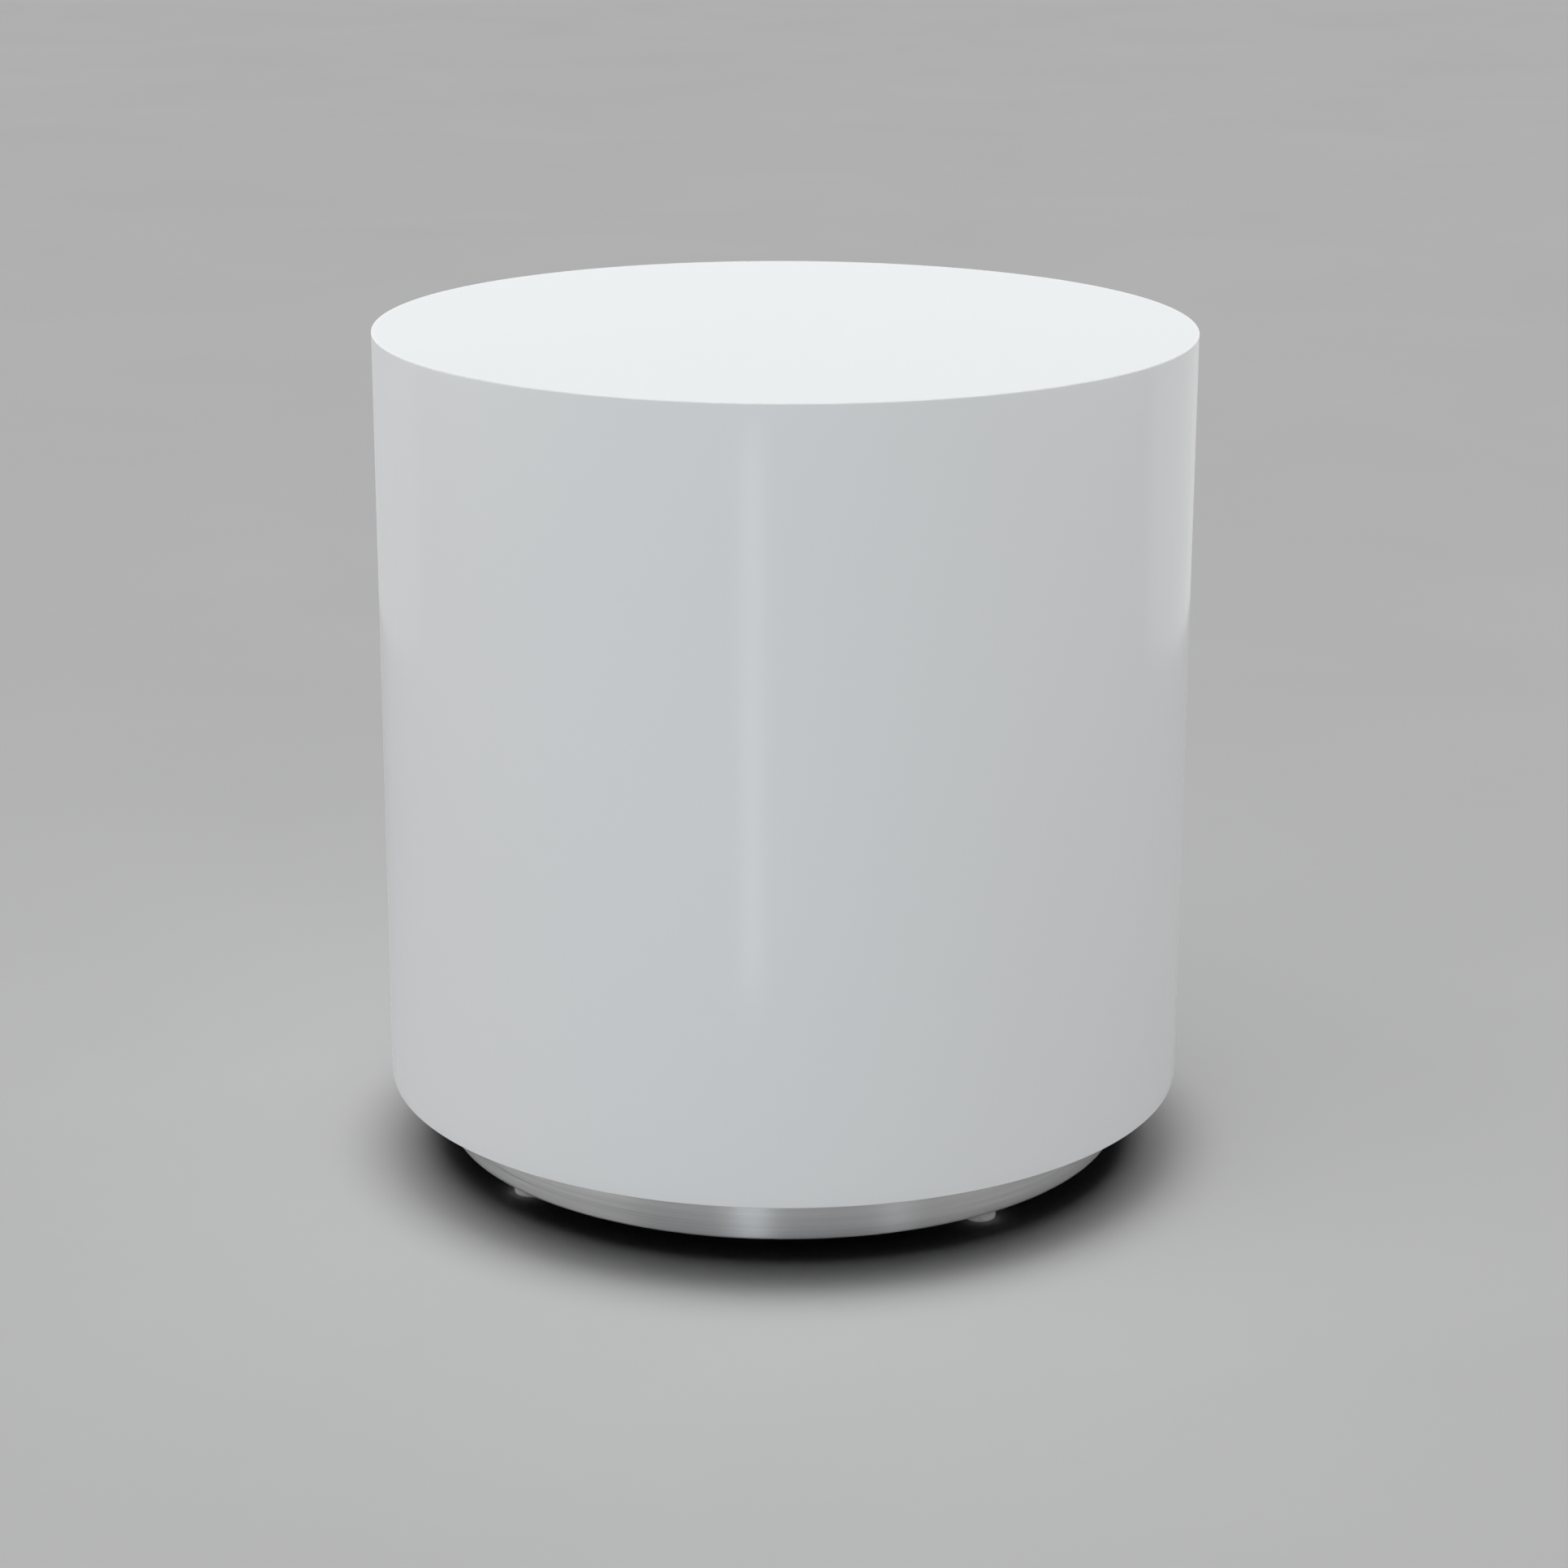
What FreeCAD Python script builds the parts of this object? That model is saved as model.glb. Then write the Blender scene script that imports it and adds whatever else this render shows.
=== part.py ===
import FreeCAD, Part
import math
import os

# Drum side table: a white laminate drum on a recessed, steel-faced plinth that stands on four levelling glides.
# Millimetres, +Z up. The origin is on the floor under the middle of the drum, and -Y is the front.

# Overall sizes
DRUM_DIAMETER = 508.0
DRUM_HEIGHT = 480.0
PLINTH_DIAMETER = 434.0
PLINTH_HEIGHT = 36.0
FLOOR_GAP = 10.0

# White laminate
LAMINATE_THICKNESS = 1.0
LAMINATE_BEVEL = 0.5
LAMINATE_SEAM = 0.2

# Boards and bent plywood
WALL_THICKNESS = 9.0
TOP_PANEL_THICKNESS = 22.0
TOP_REBATE = 8.0
BOTTOM_PANEL_THICKNESS = 18.0
FORMER_THICKNESS = 18.0
FORMER_WIDTH = 44.0
HOOP_THICKNESS = 6.0
HOOP_SETBACK = 0.5
GLUE_LINE = 0.1

# Battens behind the wall
BATTEN_COUNT = 6
BATTEN_WIDTH = 40.0
BATTEN_DEPTH = 20.0
BATTEN_EASE = 2.0
NOTCH_CLEARANCE = 0.3

# Steel band round the plinth
BAND_THICKNESS = 0.8
BAND_SEAM = 0.4

# Blocks inside the plinth
BLOCK_WIDTH = 72.0
BLOCK_DEPTH = 40.0
BLOCK_EASE = 6.0
BLOCK_RECESS = 9.0

# Levelling glides
GLIDE_BASE_DIAMETER = 20.0
GLIDE_BASE_HEIGHT = 8.0
GLIDE_RIM_HEIGHT = 4.0
GLIDE_SOLE_BEVEL = 1.0
GLIDE_BOSS_DIAMETER = 13.0
GLIDE_SIDE_GAP = 1.2
GLIDE_RETRACT = 5.0
STEM_DIAMETER = 6.0
STEM_TIP_GAP = 1.0
STEM_TIP_BEVEL = 1.0
SPANNER_FLATS = 10.0
SPANNER_HEIGHT = 4.0
PIVOT_DIAMETER = 4.5
RIVET_DIAMETER = 7.5
RIVET_THICKNESS = 1.6
RIVET_RECESS = 1.0
RIVET_SIDE_GAP = 0.4
RUNNING_FIT = 0.06

# Tee nuts
TEE_BARREL_DIAMETER = 7.8
TEE_BARREL_LENGTH = 10.0
TEE_FLANGE_DIAMETER = 19.0
TEE_FLANGE_THICKNESS = 1.2
TEE_PRONG_COUNT = 4
TEE_PRONG_WIDTH = 2.5
TEE_PRONG_HEIGHT = 6.0
TEE_FIT = 0.1

# Wood screws
SCREW_DIAMETER = 4.0
SCREW_HEAD_DIAMETER = 8.0
SCREW_FIT = 0.05
SCREW_COVER = 5.0
BATTEN_SCREW_BITE = 32.0
BLOCK_SCREW_SPACING = 50.0

# Small screws in the band
BAND_SCREW_DIAMETER = 2.9
BAND_SCREW_HEAD_DIAMETER = 5.6
BAND_SCREW_HEAD_HEIGHT = 1.4
BAND_SCREW_COVER = 1.0
BAND_SCREW_FROM_SEAM = 9.0
BAND_SCREW_FROM_EDGE = 9.0

# Directions round the table, in degrees from +X
BACK = 90.0
GLIDE_PLACES = ["front_right", "rear_right", "rear_left", "front_left"]
GLIDE_STEP = 360.0 / len(GLIDE_PLACES)
GLIDE_ANGLES = {place: (i - 0.5) * GLIDE_STEP for i, place in enumerate(GLIDE_PLACES)}
BATTEN_STEP = 360.0 / BATTEN_COUNT
BATTEN_ANGLES = [BACK + i * BATTEN_STEP for i in range(BATTEN_COUNT)]

# Heights of the main faces
BLOCK_Z = FLOOR_GAP + BLOCK_RECESS
DECK_Z = FLOOR_GAP + PLINTH_HEIGHT
FLOOR_PANEL_Z = DECK_Z + BOTTOM_PANEL_THICKNESS
TABLE_Z = DECK_Z + DRUM_HEIGHT
CORE_TOP_Z = TABLE_Z - LAMINATE_THICKNESS
TOP_PANEL_Z = CORE_TOP_Z - TOP_PANEL_THICKNESS
WALL_TOP_Z = TOP_PANEL_Z + TOP_REBATE
UPPER_FORMER_Z = TOP_PANEL_Z - FORMER_THICKNESS
MIDDLE_FORMER_Z = (FLOOR_PANEL_Z + UPPER_FORMER_Z - FORMER_THICKNESS) / 2

# Radii of the main faces
DRUM_R = DRUM_DIAMETER / 2
LAMINATE_BACK_R = DRUM_R - LAMINATE_THICKNESS
CORE_R = LAMINATE_BACK_R - GLUE_LINE
CORE_BORE_R = CORE_R - WALL_THICKNESS
FORMER_R = CORE_BORE_R - GLUE_LINE
FORMER_BORE_R = FORMER_R - FORMER_WIDTH
FORMER_MIDDLE_R = FORMER_R - FORMER_WIDTH / 2
BATTEN_MIDDLE_R = FORMER_R - BATTEN_DEPTH / 2
PLINTH_R = PLINTH_DIAMETER / 2
BAND_BACK_R = PLINTH_R - BAND_THICKNESS
HOOP_R = BAND_BACK_R - GLUE_LINE
HOOP_BORE_R = HOOP_R - HOOP_THICKNESS
BLOCK_R = HOOP_BORE_R - GLUE_LINE
BLOCK_MIDDLE_R = BLOCK_R - BLOCK_DEPTH / 2
GLIDE_R = HOOP_BORE_R - GLIDE_SIDE_GAP - GLIDE_BASE_DIAMETER / 2

ORIGIN = FreeCAD.Vector(0, 0, 0)
UP = FreeCAD.Vector(0, 0, 1)


def at(radius, height):
    """Point of a turned piece's outline."""
    return FreeCAD.Vector(radius, 0, height)


def swung(shape, angle):
    """The shape turned about the table's axis."""
    return shape.rotated(ORIGIN, UP, angle)


def moved(shape, x, y, z):
    return shape.translated(FreeCAD.Vector(x, y, z))


def revolved(edges):
    """Solid of revolution about Z from the edges of a closed outline. Its closing line is at the back."""
    return swung(Part.Face(Part.Wire(edges)).revolve(ORIGIN, UP, 360), BACK)


def turned(outline):
    """Solid of revolution about Z from a closed outline of (radius, height) points."""
    corners = [at(radius, height) for radius, height in outline]
    return revolved(Part.makePolygon(corners + corners[:1]).Edges)


def hoop(outer, inner, low, high):
    """Plain ring about Z."""
    return turned([(inner, low), (outer, low), (outer, high), (inner, high)])


def upright(radius, width, depth, ease, low, high):
    """Upright piece on +X whose back is an arc about Z and whose two front corners are eased."""
    side = width / 2
    shoulder = math.sqrt(radius**2 - side**2)
    front = radius - depth
    outline = [
        (shoulder, side),
        (front + ease, side),
        (front, side - ease),
        (front, ease - side),
        (front + ease, -side),
        (shoulder, -side),
    ]
    corners = [FreeCAD.Vector(x, y, low) for x, y in outline]
    middle_of_back = FreeCAD.Vector(radius, 0, low)
    edges = [Part.LineSegment(a, b).toShape() for a, b in zip(corners, corners[1:])]
    edges.append(Part.Arc(corners[-1], middle_of_back, corners[0]).toShape())
    return Part.Face(Part.Wire(edges)).extrude(UP * (high - low))


def slit(outer, width, low, high):
    """Cutter for a vertical butt seam at the back."""
    corner = FreeCAD.Vector(0, -width / 2, low)
    return swung(Part.makeBox(outer, width, high - low, corner), BACK)


def wood_screw(length, fit=0.0):
    """Countersunk screw from the origin along +Z. With a fit it is the cutter for its hole."""
    shank = SCREW_DIAMETER / 2 + fit
    head = SCREW_HEAD_DIAMETER / 2 + fit
    shoulder = head - shank
    point = length + fit
    return turned([(0, 0), (head, 0), (shank, shoulder), (shank, point - 2 * shank), (0, point)])


def driven_down(shape):
    """A piece made along +Z, turned to point along -Z."""
    return shape.rotated(ORIGIN, FreeCAD.Vector(1, 0, 0), 180)


def top_screws(fit=0.0):
    """Screws from the upper former up into the top panel, midway between the battens."""
    length = FORMER_THICKNESS + TOP_PANEL_THICKNESS - SCREW_COVER
    screw = moved(wood_screw(length, fit), FORMER_MIDDLE_R, 0, UPPER_FORMER_Z)
    return [swung(screw, angle + BATTEN_STEP / 2) for angle in BATTEN_ANGLES]


def batten_screws(fit=0.0):
    """Screws into both ends of each batten, through the bottom panel and through the upper former."""
    rising = wood_screw(BOTTOM_PANEL_THICKNESS + BATTEN_SCREW_BITE, fit)
    falling = driven_down(wood_screw(FORMER_THICKNESS + BATTEN_SCREW_BITE, fit))
    pair = [
        moved(rising, BATTEN_MIDDLE_R, 0, DECK_Z),
        moved(falling, BATTEN_MIDDLE_R, 0, TOP_PANEL_Z),
    ]
    return [swung(screw, angle) for angle in BATTEN_ANGLES for screw in pair]


def block_screws(fit=0.0):
    """Two screws up through each glide block into the bottom panel."""
    length = DECK_Z - BLOCK_Z + BOTTOM_PANEL_THICKNESS - SCREW_COVER
    screw = wood_screw(length, fit)
    aside = BLOCK_SCREW_SPACING / 2
    pair = [moved(screw, BLOCK_MIDDLE_R, y, BLOCK_Z) for y in (-aside, aside)]
    return [swung(piece, angle) for angle in GLIDE_ANGLES.values() for piece in pair]


def band_screw(fit=0.0):
    """Small screw with a low round head, pointing inwards from the band's face on +X."""
    head = BAND_SCREW_HEAD_DIAMETER / 2
    crown = head / 2
    shank = BAND_SCREW_DIAMETER / 2 + fit
    point = BAND_THICKNESS + GLUE_LINE + HOOP_THICKNESS - BAND_SCREW_COVER + fit
    outline = [
        (0, -BAND_SCREW_HEAD_HEIGHT),
        (crown, -BAND_SCREW_HEAD_HEIGHT),
        (head, -BAND_SCREW_HEAD_HEIGHT / 2),
        (head, 0),
        (shank, 0),
        (shank, point - 2 * shank),
        (0, point),
    ]
    inwards = turned(outline).rotated(ORIGIN, FreeCAD.Vector(0, 1, 0), -90)
    return moved(inwards, PLINTH_R, 0, 0)


def band_screws(fit=0.0):
    """Two screws each side of the band's seam."""
    aside = math.degrees(BAND_SCREW_FROM_SEAM / PLINTH_R)
    heights = [FLOOR_GAP + BAND_SCREW_FROM_EDGE, DECK_Z - BAND_SCREW_FROM_EDGE]
    screws = []
    for height in heights:
        for angle in (BACK - aside, BACK + aside):
            screws.append(swung(moved(band_screw(fit), 0, 0, height), angle))
    return screws


def top_laminate():
    """White sheet on the top, lapping over the side sheet, with a bevelled arris."""
    arris = DRUM_R - LAMINATE_BEVEL
    shoulder = TABLE_Z - LAMINATE_BEVEL
    return turned([(0, CORE_TOP_Z), (DRUM_R, CORE_TOP_Z), (DRUM_R, shoulder), (arris, TABLE_Z), (0, TABLE_Z)])


def wall_laminate():
    """White sheet round the drum, with a butt seam at the back and its lower arris bevelled."""
    arris = DRUM_R - LAMINATE_BEVEL
    sheet = turned([
        (LAMINATE_BACK_R, DECK_Z),
        (arris, DECK_Z),
        (DRUM_R, DECK_Z + LAMINATE_BEVEL),
        (DRUM_R, CORE_TOP_Z),
        (LAMINATE_BACK_R, CORE_TOP_Z),
    ])
    return sheet.cut(slit(DRUM_DIAMETER, LAMINATE_SEAM, DECK_Z, CORE_TOP_Z))


def top_panel():
    """Board disc under the top sheet, rebated at its rim so that it drops into the wall."""
    disc = turned([
        (0, TOP_PANEL_Z),
        (FORMER_R, TOP_PANEL_Z),
        (FORMER_R, WALL_TOP_Z),
        (CORE_R, WALL_TOP_Z),
        (CORE_R, CORE_TOP_Z),
        (0, CORE_TOP_Z),
    ])
    return disc.cut(top_screws(SCREW_FIT))


def wall_core():
    """Bent plywood tube from the bottom of the drum up into the top panel's rebate."""
    return hoop(CORE_R, CORE_BORE_R, DECK_Z, WALL_TOP_Z)


def upper_former():
    ring = hoop(FORMER_R, FORMER_BORE_R, UPPER_FORMER_Z, TOP_PANEL_Z)
    return ring.cut(top_screws(SCREW_FIT) + batten_screws(SCREW_FIT))


def middle_former():
    """Ring at half height, notched so that the battens pass through it."""
    high = MIDDLE_FORMER_Z + FORMER_THICKNESS
    width = BATTEN_WIDTH + 2 * NOTCH_CLEARANCE
    depth = BATTEN_DEPTH + NOTCH_CLEARANCE
    corner = FreeCAD.Vector(FORMER_R - depth, -width / 2, MIDDLE_FORMER_Z)
    notch = Part.makeBox(2 * depth, width, FORMER_THICKNESS, corner)
    ring = hoop(FORMER_R, FORMER_BORE_R, MIDDLE_FORMER_Z, high)
    return ring.cut([swung(notch, angle) for angle in BATTEN_ANGLES])


def bottom_panel():
    disc = turned([(0, DECK_Z), (FORMER_R, DECK_Z), (FORMER_R, FLOOR_PANEL_Z), (0, FLOOR_PANEL_Z)])
    return disc.cut(batten_screws(SCREW_FIT) + block_screws(SCREW_FIT))


def batten(angle):
    """Upright between the bottom panel and the upper former, with its back rounded to the wall."""
    stick = upright(FORMER_R, BATTEN_WIDTH, BATTEN_DEPTH, BATTEN_EASE, FLOOR_PANEL_Z, UPPER_FORMER_Z)
    return swung(stick, angle).cut(batten_screws(SCREW_FIT))


def plinth_hoop():
    """Bent plywood ring, a little short of the band's lower edge."""
    return hoop(HOOP_R, HOOP_BORE_R, FLOOR_GAP + HOOP_SETBACK, DECK_Z).cut(band_screws(SCREW_FIT))


def plinth_band():
    """Brushed steel strip round the hoop, with its seam at the back."""
    strip = hoop(PLINTH_R, BAND_BACK_R, FLOOR_GAP, DECK_Z)
    seam = slit(PLINTH_DIAMETER, BAND_SEAM, FLOOR_GAP, DECK_Z)
    return strip.cut([seam] + band_screws(SCREW_FIT))


def tee_prongs(fit=0.0):
    """Prongs bent up from the tee nut's rim, clear of the block's back, or with a fit their slots."""
    rim = TEE_FLANGE_DIAMETER / 2
    width = TEE_PRONG_WIDTH + 2 * fit
    thickness = TEE_FLANGE_THICKNESS + 2 * fit
    corner = FreeCAD.Vector(rim - TEE_FLANGE_THICKNESS - fit, -width / 2, 0)
    prong = Part.makeBox(thickness, width, TEE_FLANGE_THICKNESS + TEE_PRONG_HEIGHT + fit, corner)
    step = 360.0 / TEE_PRONG_COUNT
    return [swung(prong, (i + 0.5) * step) for i in range(TEE_PRONG_COUNT)]


def tee_nut():
    """Tee nut on the Z axis, with the underside of its flange at the origin's height."""
    flange = TEE_FLANGE_DIAMETER / 2
    barrel = TEE_BARREL_DIAMETER / 2
    bore = STEM_DIAMETER / 2 + RUNNING_FIT
    turned_part = turned([
        (bore, 0),
        (flange, 0),
        (flange, TEE_FLANGE_THICKNESS),
        (barrel, TEE_FLANGE_THICKNESS),
        (barrel, TEE_BARREL_LENGTH),
        (bore, TEE_BARREL_LENGTH),
    ])
    round_rim = Part.makeCylinder(flange, TEE_FLANGE_THICKNESS + TEE_PRONG_HEIGHT)
    return turned_part.fuse([prong.common(round_rim) for prong in tee_prongs()]).removeSplitter()


def tee_seat():
    """Cutter for the tee nut's hole, its flange recess and its prongs."""
    recess = Part.makeCylinder(TEE_FLANGE_DIAMETER / 2 + TEE_FIT, TEE_FLANGE_THICKNESS)
    hole = Part.makeCylinder(TEE_BARREL_DIAMETER / 2 + TEE_FIT, DECK_Z - BLOCK_Z)
    return [moved(cutter, GLIDE_R, 0, BLOCK_Z) for cutter in [recess, hole] + tee_prongs(TEE_FIT)]


def tee_nuts():
    nut = moved(tee_nut(), GLIDE_R, 0, BLOCK_Z)
    return [swung(nut, angle) for angle in GLIDE_ANGLES.values()]


def glide_block(angle):
    """Wood block in the plinth that takes a tee nut, with its back rounded to the hoop."""
    block = upright(BLOCK_R, BLOCK_WIDTH, BLOCK_DEPTH, BLOCK_EASE, BLOCK_Z, DECK_Z)
    return swung(block.cut(tee_seat()), angle).cut(block_screws(SCREW_FIT))


def glide_base(angle):
    """Moulded foot: a domed disc with a stepped hole for the stem's pivot and its riveted end."""
    rim = GLIDE_BASE_DIAMETER / 2
    boss = GLIDE_BOSS_DIAMETER / 2
    hole = PIVOT_DIAMETER / 2 + RUNNING_FIT
    pocket = RIVET_DIAMETER / 2 + RIVET_SIDE_GAP
    pocket_z = RIVET_RECESS + RIVET_THICKNESS + RUNNING_FIT
    outline = [
        at(boss, GLIDE_BASE_HEIGHT),
        at(hole, GLIDE_BASE_HEIGHT),
        at(hole, pocket_z),
        at(pocket, pocket_z),
        at(pocket, 0),
        at(rim - GLIDE_SOLE_BEVEL, 0),
        at(rim, GLIDE_SOLE_BEVEL),
        at(rim, GLIDE_RIM_HEIGHT),
    ]
    fall = rim - boss
    rise = GLIDE_BASE_HEIGHT - GLIDE_RIM_HEIGHT
    dome_r = (fall**2 + rise**2) / (2 * fall)
    half_sweep = math.atan2(rise, dome_r - fall) / 2
    crest = at(
        rim - dome_r + dome_r * math.cos(half_sweep),
        GLIDE_RIM_HEIGHT + dome_r * math.sin(half_sweep),
    )
    dome = Part.Arc(outline[-1], crest, outline[0]).toShape()
    foot = revolved(Part.makePolygon(outline).Edges + [dome])
    return swung(moved(foot, GLIDE_R, 0, 0), angle)


def spanner_hexagon(low, high):
    """Hexagonal collar on the Z axis, with its corners turned off at 30 degrees."""
    flat_r = SPANNER_FLATS / 2
    corner_r = SPANNER_FLATS / math.sqrt(3)
    bevel = (corner_r - flat_r) * math.tan(math.radians(30))
    turns = [math.radians(60 * i) for i in range(7)]
    corners = [FreeCAD.Vector(corner_r * math.cos(t), corner_r * math.sin(t), low) for t in turns]
    prism = Part.Face(Part.makePolygon(corners)).extrude(UP * (high - low))
    blank = [
        (0, low),
        (flat_r, low),
        (corner_r, low + bevel),
        (corner_r, high - bevel),
        (flat_r, high),
        (0, high),
    ]
    return prism.common(turned(blank))


def glide_stem(angle):
    """Threaded stem with a spanner hexagon, and a pivot under it whose riveted end holds the base."""
    rivet = RIVET_DIAMETER / 2
    pivot = PIVOT_DIAMETER / 2
    thread = STEM_DIAMETER / 2
    rivet_z = RIVET_RECESS + RIVET_THICKNESS
    collar_z = GLIDE_BASE_HEIGHT + RUNNING_FIT
    tip_z = DECK_Z - GLIDE_RETRACT - STEM_TIP_GAP
    rod = turned([
        (0, RIVET_RECESS),
        (rivet, RIVET_RECESS),
        (rivet, rivet_z),
        (pivot, rivet_z),
        (pivot, collar_z),
        (thread, collar_z),
        (thread, tip_z - STEM_TIP_BEVEL),
        (thread - STEM_TIP_BEVEL, tip_z),
        (0, tip_z),
    ])
    stem = rod.fuse(spanner_hexagon(collar_z, collar_z + SPANNER_HEIGHT)).removeSplitter()
    return swung(moved(stem, GLIDE_R, 0, 0), angle)


def pieces():
    """Every piece of the table by name. Identical fasteners share a name."""
    table = {
        "top_laminate": top_laminate(),
        "wall_laminate": wall_laminate(),
        "top_panel": top_panel(),
        "wall_core": wall_core(),
        "upper_former": upper_former(),
        "middle_former": middle_former(),
        "bottom_panel": bottom_panel(),
        "plinth_hoop": plinth_hoop(),
        "plinth_band": plinth_band(),
        "tee_nuts": Part.makeCompound(tee_nuts()),
        "top_screws": Part.makeCompound(top_screws()),
        "batten_screws": Part.makeCompound(batten_screws()),
        "block_screws": Part.makeCompound(block_screws()),
        "band_screws": Part.makeCompound(band_screws()),
    }
    for number, angle in enumerate(BATTEN_ANGLES, 1):
        table[f"batten_{number}"] = batten(angle)
    for place, angle in GLIDE_ANGLES.items():
        table[f"glide_block_{place}"] = glide_block(angle)
        table[f"glide_base_{place}"] = glide_base(angle)
        table[f"glide_stem_{place}"] = glide_stem(angle)
    return table


os.makedirs("parts", exist_ok=True)
for name, shape in pieces().items():
    shape.exportStep(f"parts/{name}.step")
    print(f"{name}: {len(shape.Solids)} solid(s), {shape.Volume / 1000:.2f} cm3, valid {shape.isValid()}")
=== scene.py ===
# %% [markdown]
# # A white drum side table
# The table is a drum of bent plywood and board in a thin white sheet. It stands on a narrower plinth with
# a face of brushed steel, and four small levelling glides hold the plinth just off the floor. The solid
# model already has every piece in its place, so this lesson dresses it: the pieces that show get finer
# shapes, and every piece gets a finish that is made from nodes alone.

# %% Load the frame
import math

import bmesh
import bpy
from mathutils import Matrix, Vector


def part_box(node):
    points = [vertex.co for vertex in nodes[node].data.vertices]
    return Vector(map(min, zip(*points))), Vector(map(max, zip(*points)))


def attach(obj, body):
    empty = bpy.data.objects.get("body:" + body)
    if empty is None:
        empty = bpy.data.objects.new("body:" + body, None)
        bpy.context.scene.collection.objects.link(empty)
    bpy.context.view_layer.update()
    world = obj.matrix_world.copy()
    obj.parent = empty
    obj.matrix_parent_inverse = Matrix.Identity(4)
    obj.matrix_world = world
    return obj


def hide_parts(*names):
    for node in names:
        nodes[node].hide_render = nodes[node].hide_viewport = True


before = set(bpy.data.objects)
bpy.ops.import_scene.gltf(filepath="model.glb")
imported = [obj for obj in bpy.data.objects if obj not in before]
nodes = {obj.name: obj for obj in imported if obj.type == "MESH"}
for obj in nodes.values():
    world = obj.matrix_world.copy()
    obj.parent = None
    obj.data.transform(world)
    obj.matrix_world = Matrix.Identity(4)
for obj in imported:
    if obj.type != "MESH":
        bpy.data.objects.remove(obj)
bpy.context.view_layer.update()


# %% [markdown]
# ## Sizes
# Blender works in metres here, in the same place as the solid model. A size could be typed in again, but
# then the two models can drift apart. So the main sizes are measured on the solid pieces, and only small
# fittings get sizes of their own where they are first used.

# %% Measure the main pieces
MM = 0.001
top_low, top_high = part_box("top_laminate")
side_low, side_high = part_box("wall_laminate")
band_low, band_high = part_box("plinth_band")

DRUM_RADIUS = max(top_high.x, top_high.y)
PLINTH_RADIUS = max(band_high.x, band_high.y)
SHEET = top_high.z - top_low.z
DECK = side_low.z

print(f"drum {2 * DRUM_RADIUS / MM:.0f} mm across, plinth {2 * PLINTH_RADIUS / MM:.0f} mm")
print(f"sheet {SHEET / MM:.1f} mm thick, underside {DECK / MM:.0f} mm up")

# %% [markdown]
# ## Tools for shapes
# Most pieces of a drum are turned or bent, so they start as a short outline that is turned about the
# upright axis. A sharp edge never looks right, because a real one is a little round and catches the
# light. One helper rounds chosen edges and marks them in an attribute, so that a finish can show wear
# there, and the white sheet a painted highlight.

# %% Start a shape and spin an outline
WEAR_AND_HIGHLIGHT = "wear_and_highlight_edge"
SAME_POINT = 1e-6
ROUND = 256  # steps in a whole turn of a large piece


def new_shape():
    """An empty bmesh with a place to mark the edges that wear."""
    bm = bmesh.new()
    bm.verts.layers.float.new(WEAR_AND_HIGHLIGHT)
    return bm


def closed(bm):
    """Merge doubled points and turn all faces outwards."""
    bmesh.ops.remove_doubles(bm, verts=bm.verts[:], dist=SAME_POINT)
    bmesh.ops.recalc_face_normals(bm, faces=bm.faces[:])


def drawn(bm, outline, close=False):
    """Draw (radius, height) points and the lines between them."""
    points = [bm.verts.new((radius, 0.0, height)) for radius, height in outline]
    pairs = list(zip(points, points[1:]))
    if close:
        pairs.append((points[-1], points[0]))
    return points + [bm.edges.new(pair) for pair in pairs]


def turned(bm, geometry, angle, steps, climb=0.0, merge=False):
    """Turn what is drawn about the upright axis. Each step can climb a little."""
    bmesh.ops.spin(
        bm, geom=geometry, cent=(0, 0, 0), axis=(0, 0, 1), dvec=(0, 0, climb),
        angle=angle, steps=steps, use_merge=merge, use_duplicate=False,
    )


def spun(bm, outline, steps, close=False):
    """Spin an outline a whole turn."""
    turned(bm, drawn(bm, outline, close), math.tau, steps, merge=True)
    closed(bm)


print(f"a large turn has {ROUND} steps")

# %% Find a ring of edges and round it over
NEAR = 1e-5


def edges_where(bm, there):
    """The edges whose two ends both pass a test."""
    return [edge for edge in bm.edges if there(edge.verts[0]) and there(edge.verts[1])]


def ring(bm, radius, height):
    """The edges of a turned shape at one radius and height."""
    def there(vert):
        return abs(vert.co.xy.length - radius) < NEAR and abs(vert.co.z - height) < NEAR
    return edges_where(bm, there)


def mark_wear_and_highlight(bm, verts, amount):
    """Note how strongly these points show wear and, on white, a painted highlight, from 0 to 1."""
    worn = bm.verts.layers.float[WEAR_AND_HIGHLIGHT]
    for vert in verts:
        vert[worn] = amount


def rounded(bm, edges, width, segments):
    """Round edges over and mark the new points for wear and, on white, a painted highlight."""
    made = bmesh.ops.bevel(
        bm, geom=edges, offset=width, offset_type="OFFSET", segments=segments,
        profile=0.5, affect="EDGES", material=-1, clamp_overlap=True,
    )
    mark_wear_and_highlight(bm, made["verts"], 1.0)


print("rounded edges are marked as", WEAR_AND_HIGHLIGHT)

# %% Pull faces out, and slice a shape level
SLICE = 1e-7


def points_in(geometry):
    """Only the points that an operator gives back."""
    return [item for item in geometry if isinstance(item, bmesh.types.BMVert)]


def pulled(bm, faces, shift, keep=False):
    """Pull faces out along a shift. The first faces go, or stay as the other end."""
    moved = points_in(bmesh.ops.extrude_face_region(bm, geom=faces, use_keep_orig=keep)["geom"])
    bmesh.ops.translate(bm, verts=moved, vec=shift)
    if not keep:
        bmesh.ops.delete(bm, geom=faces, context="FACES")
    return moved


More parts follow.
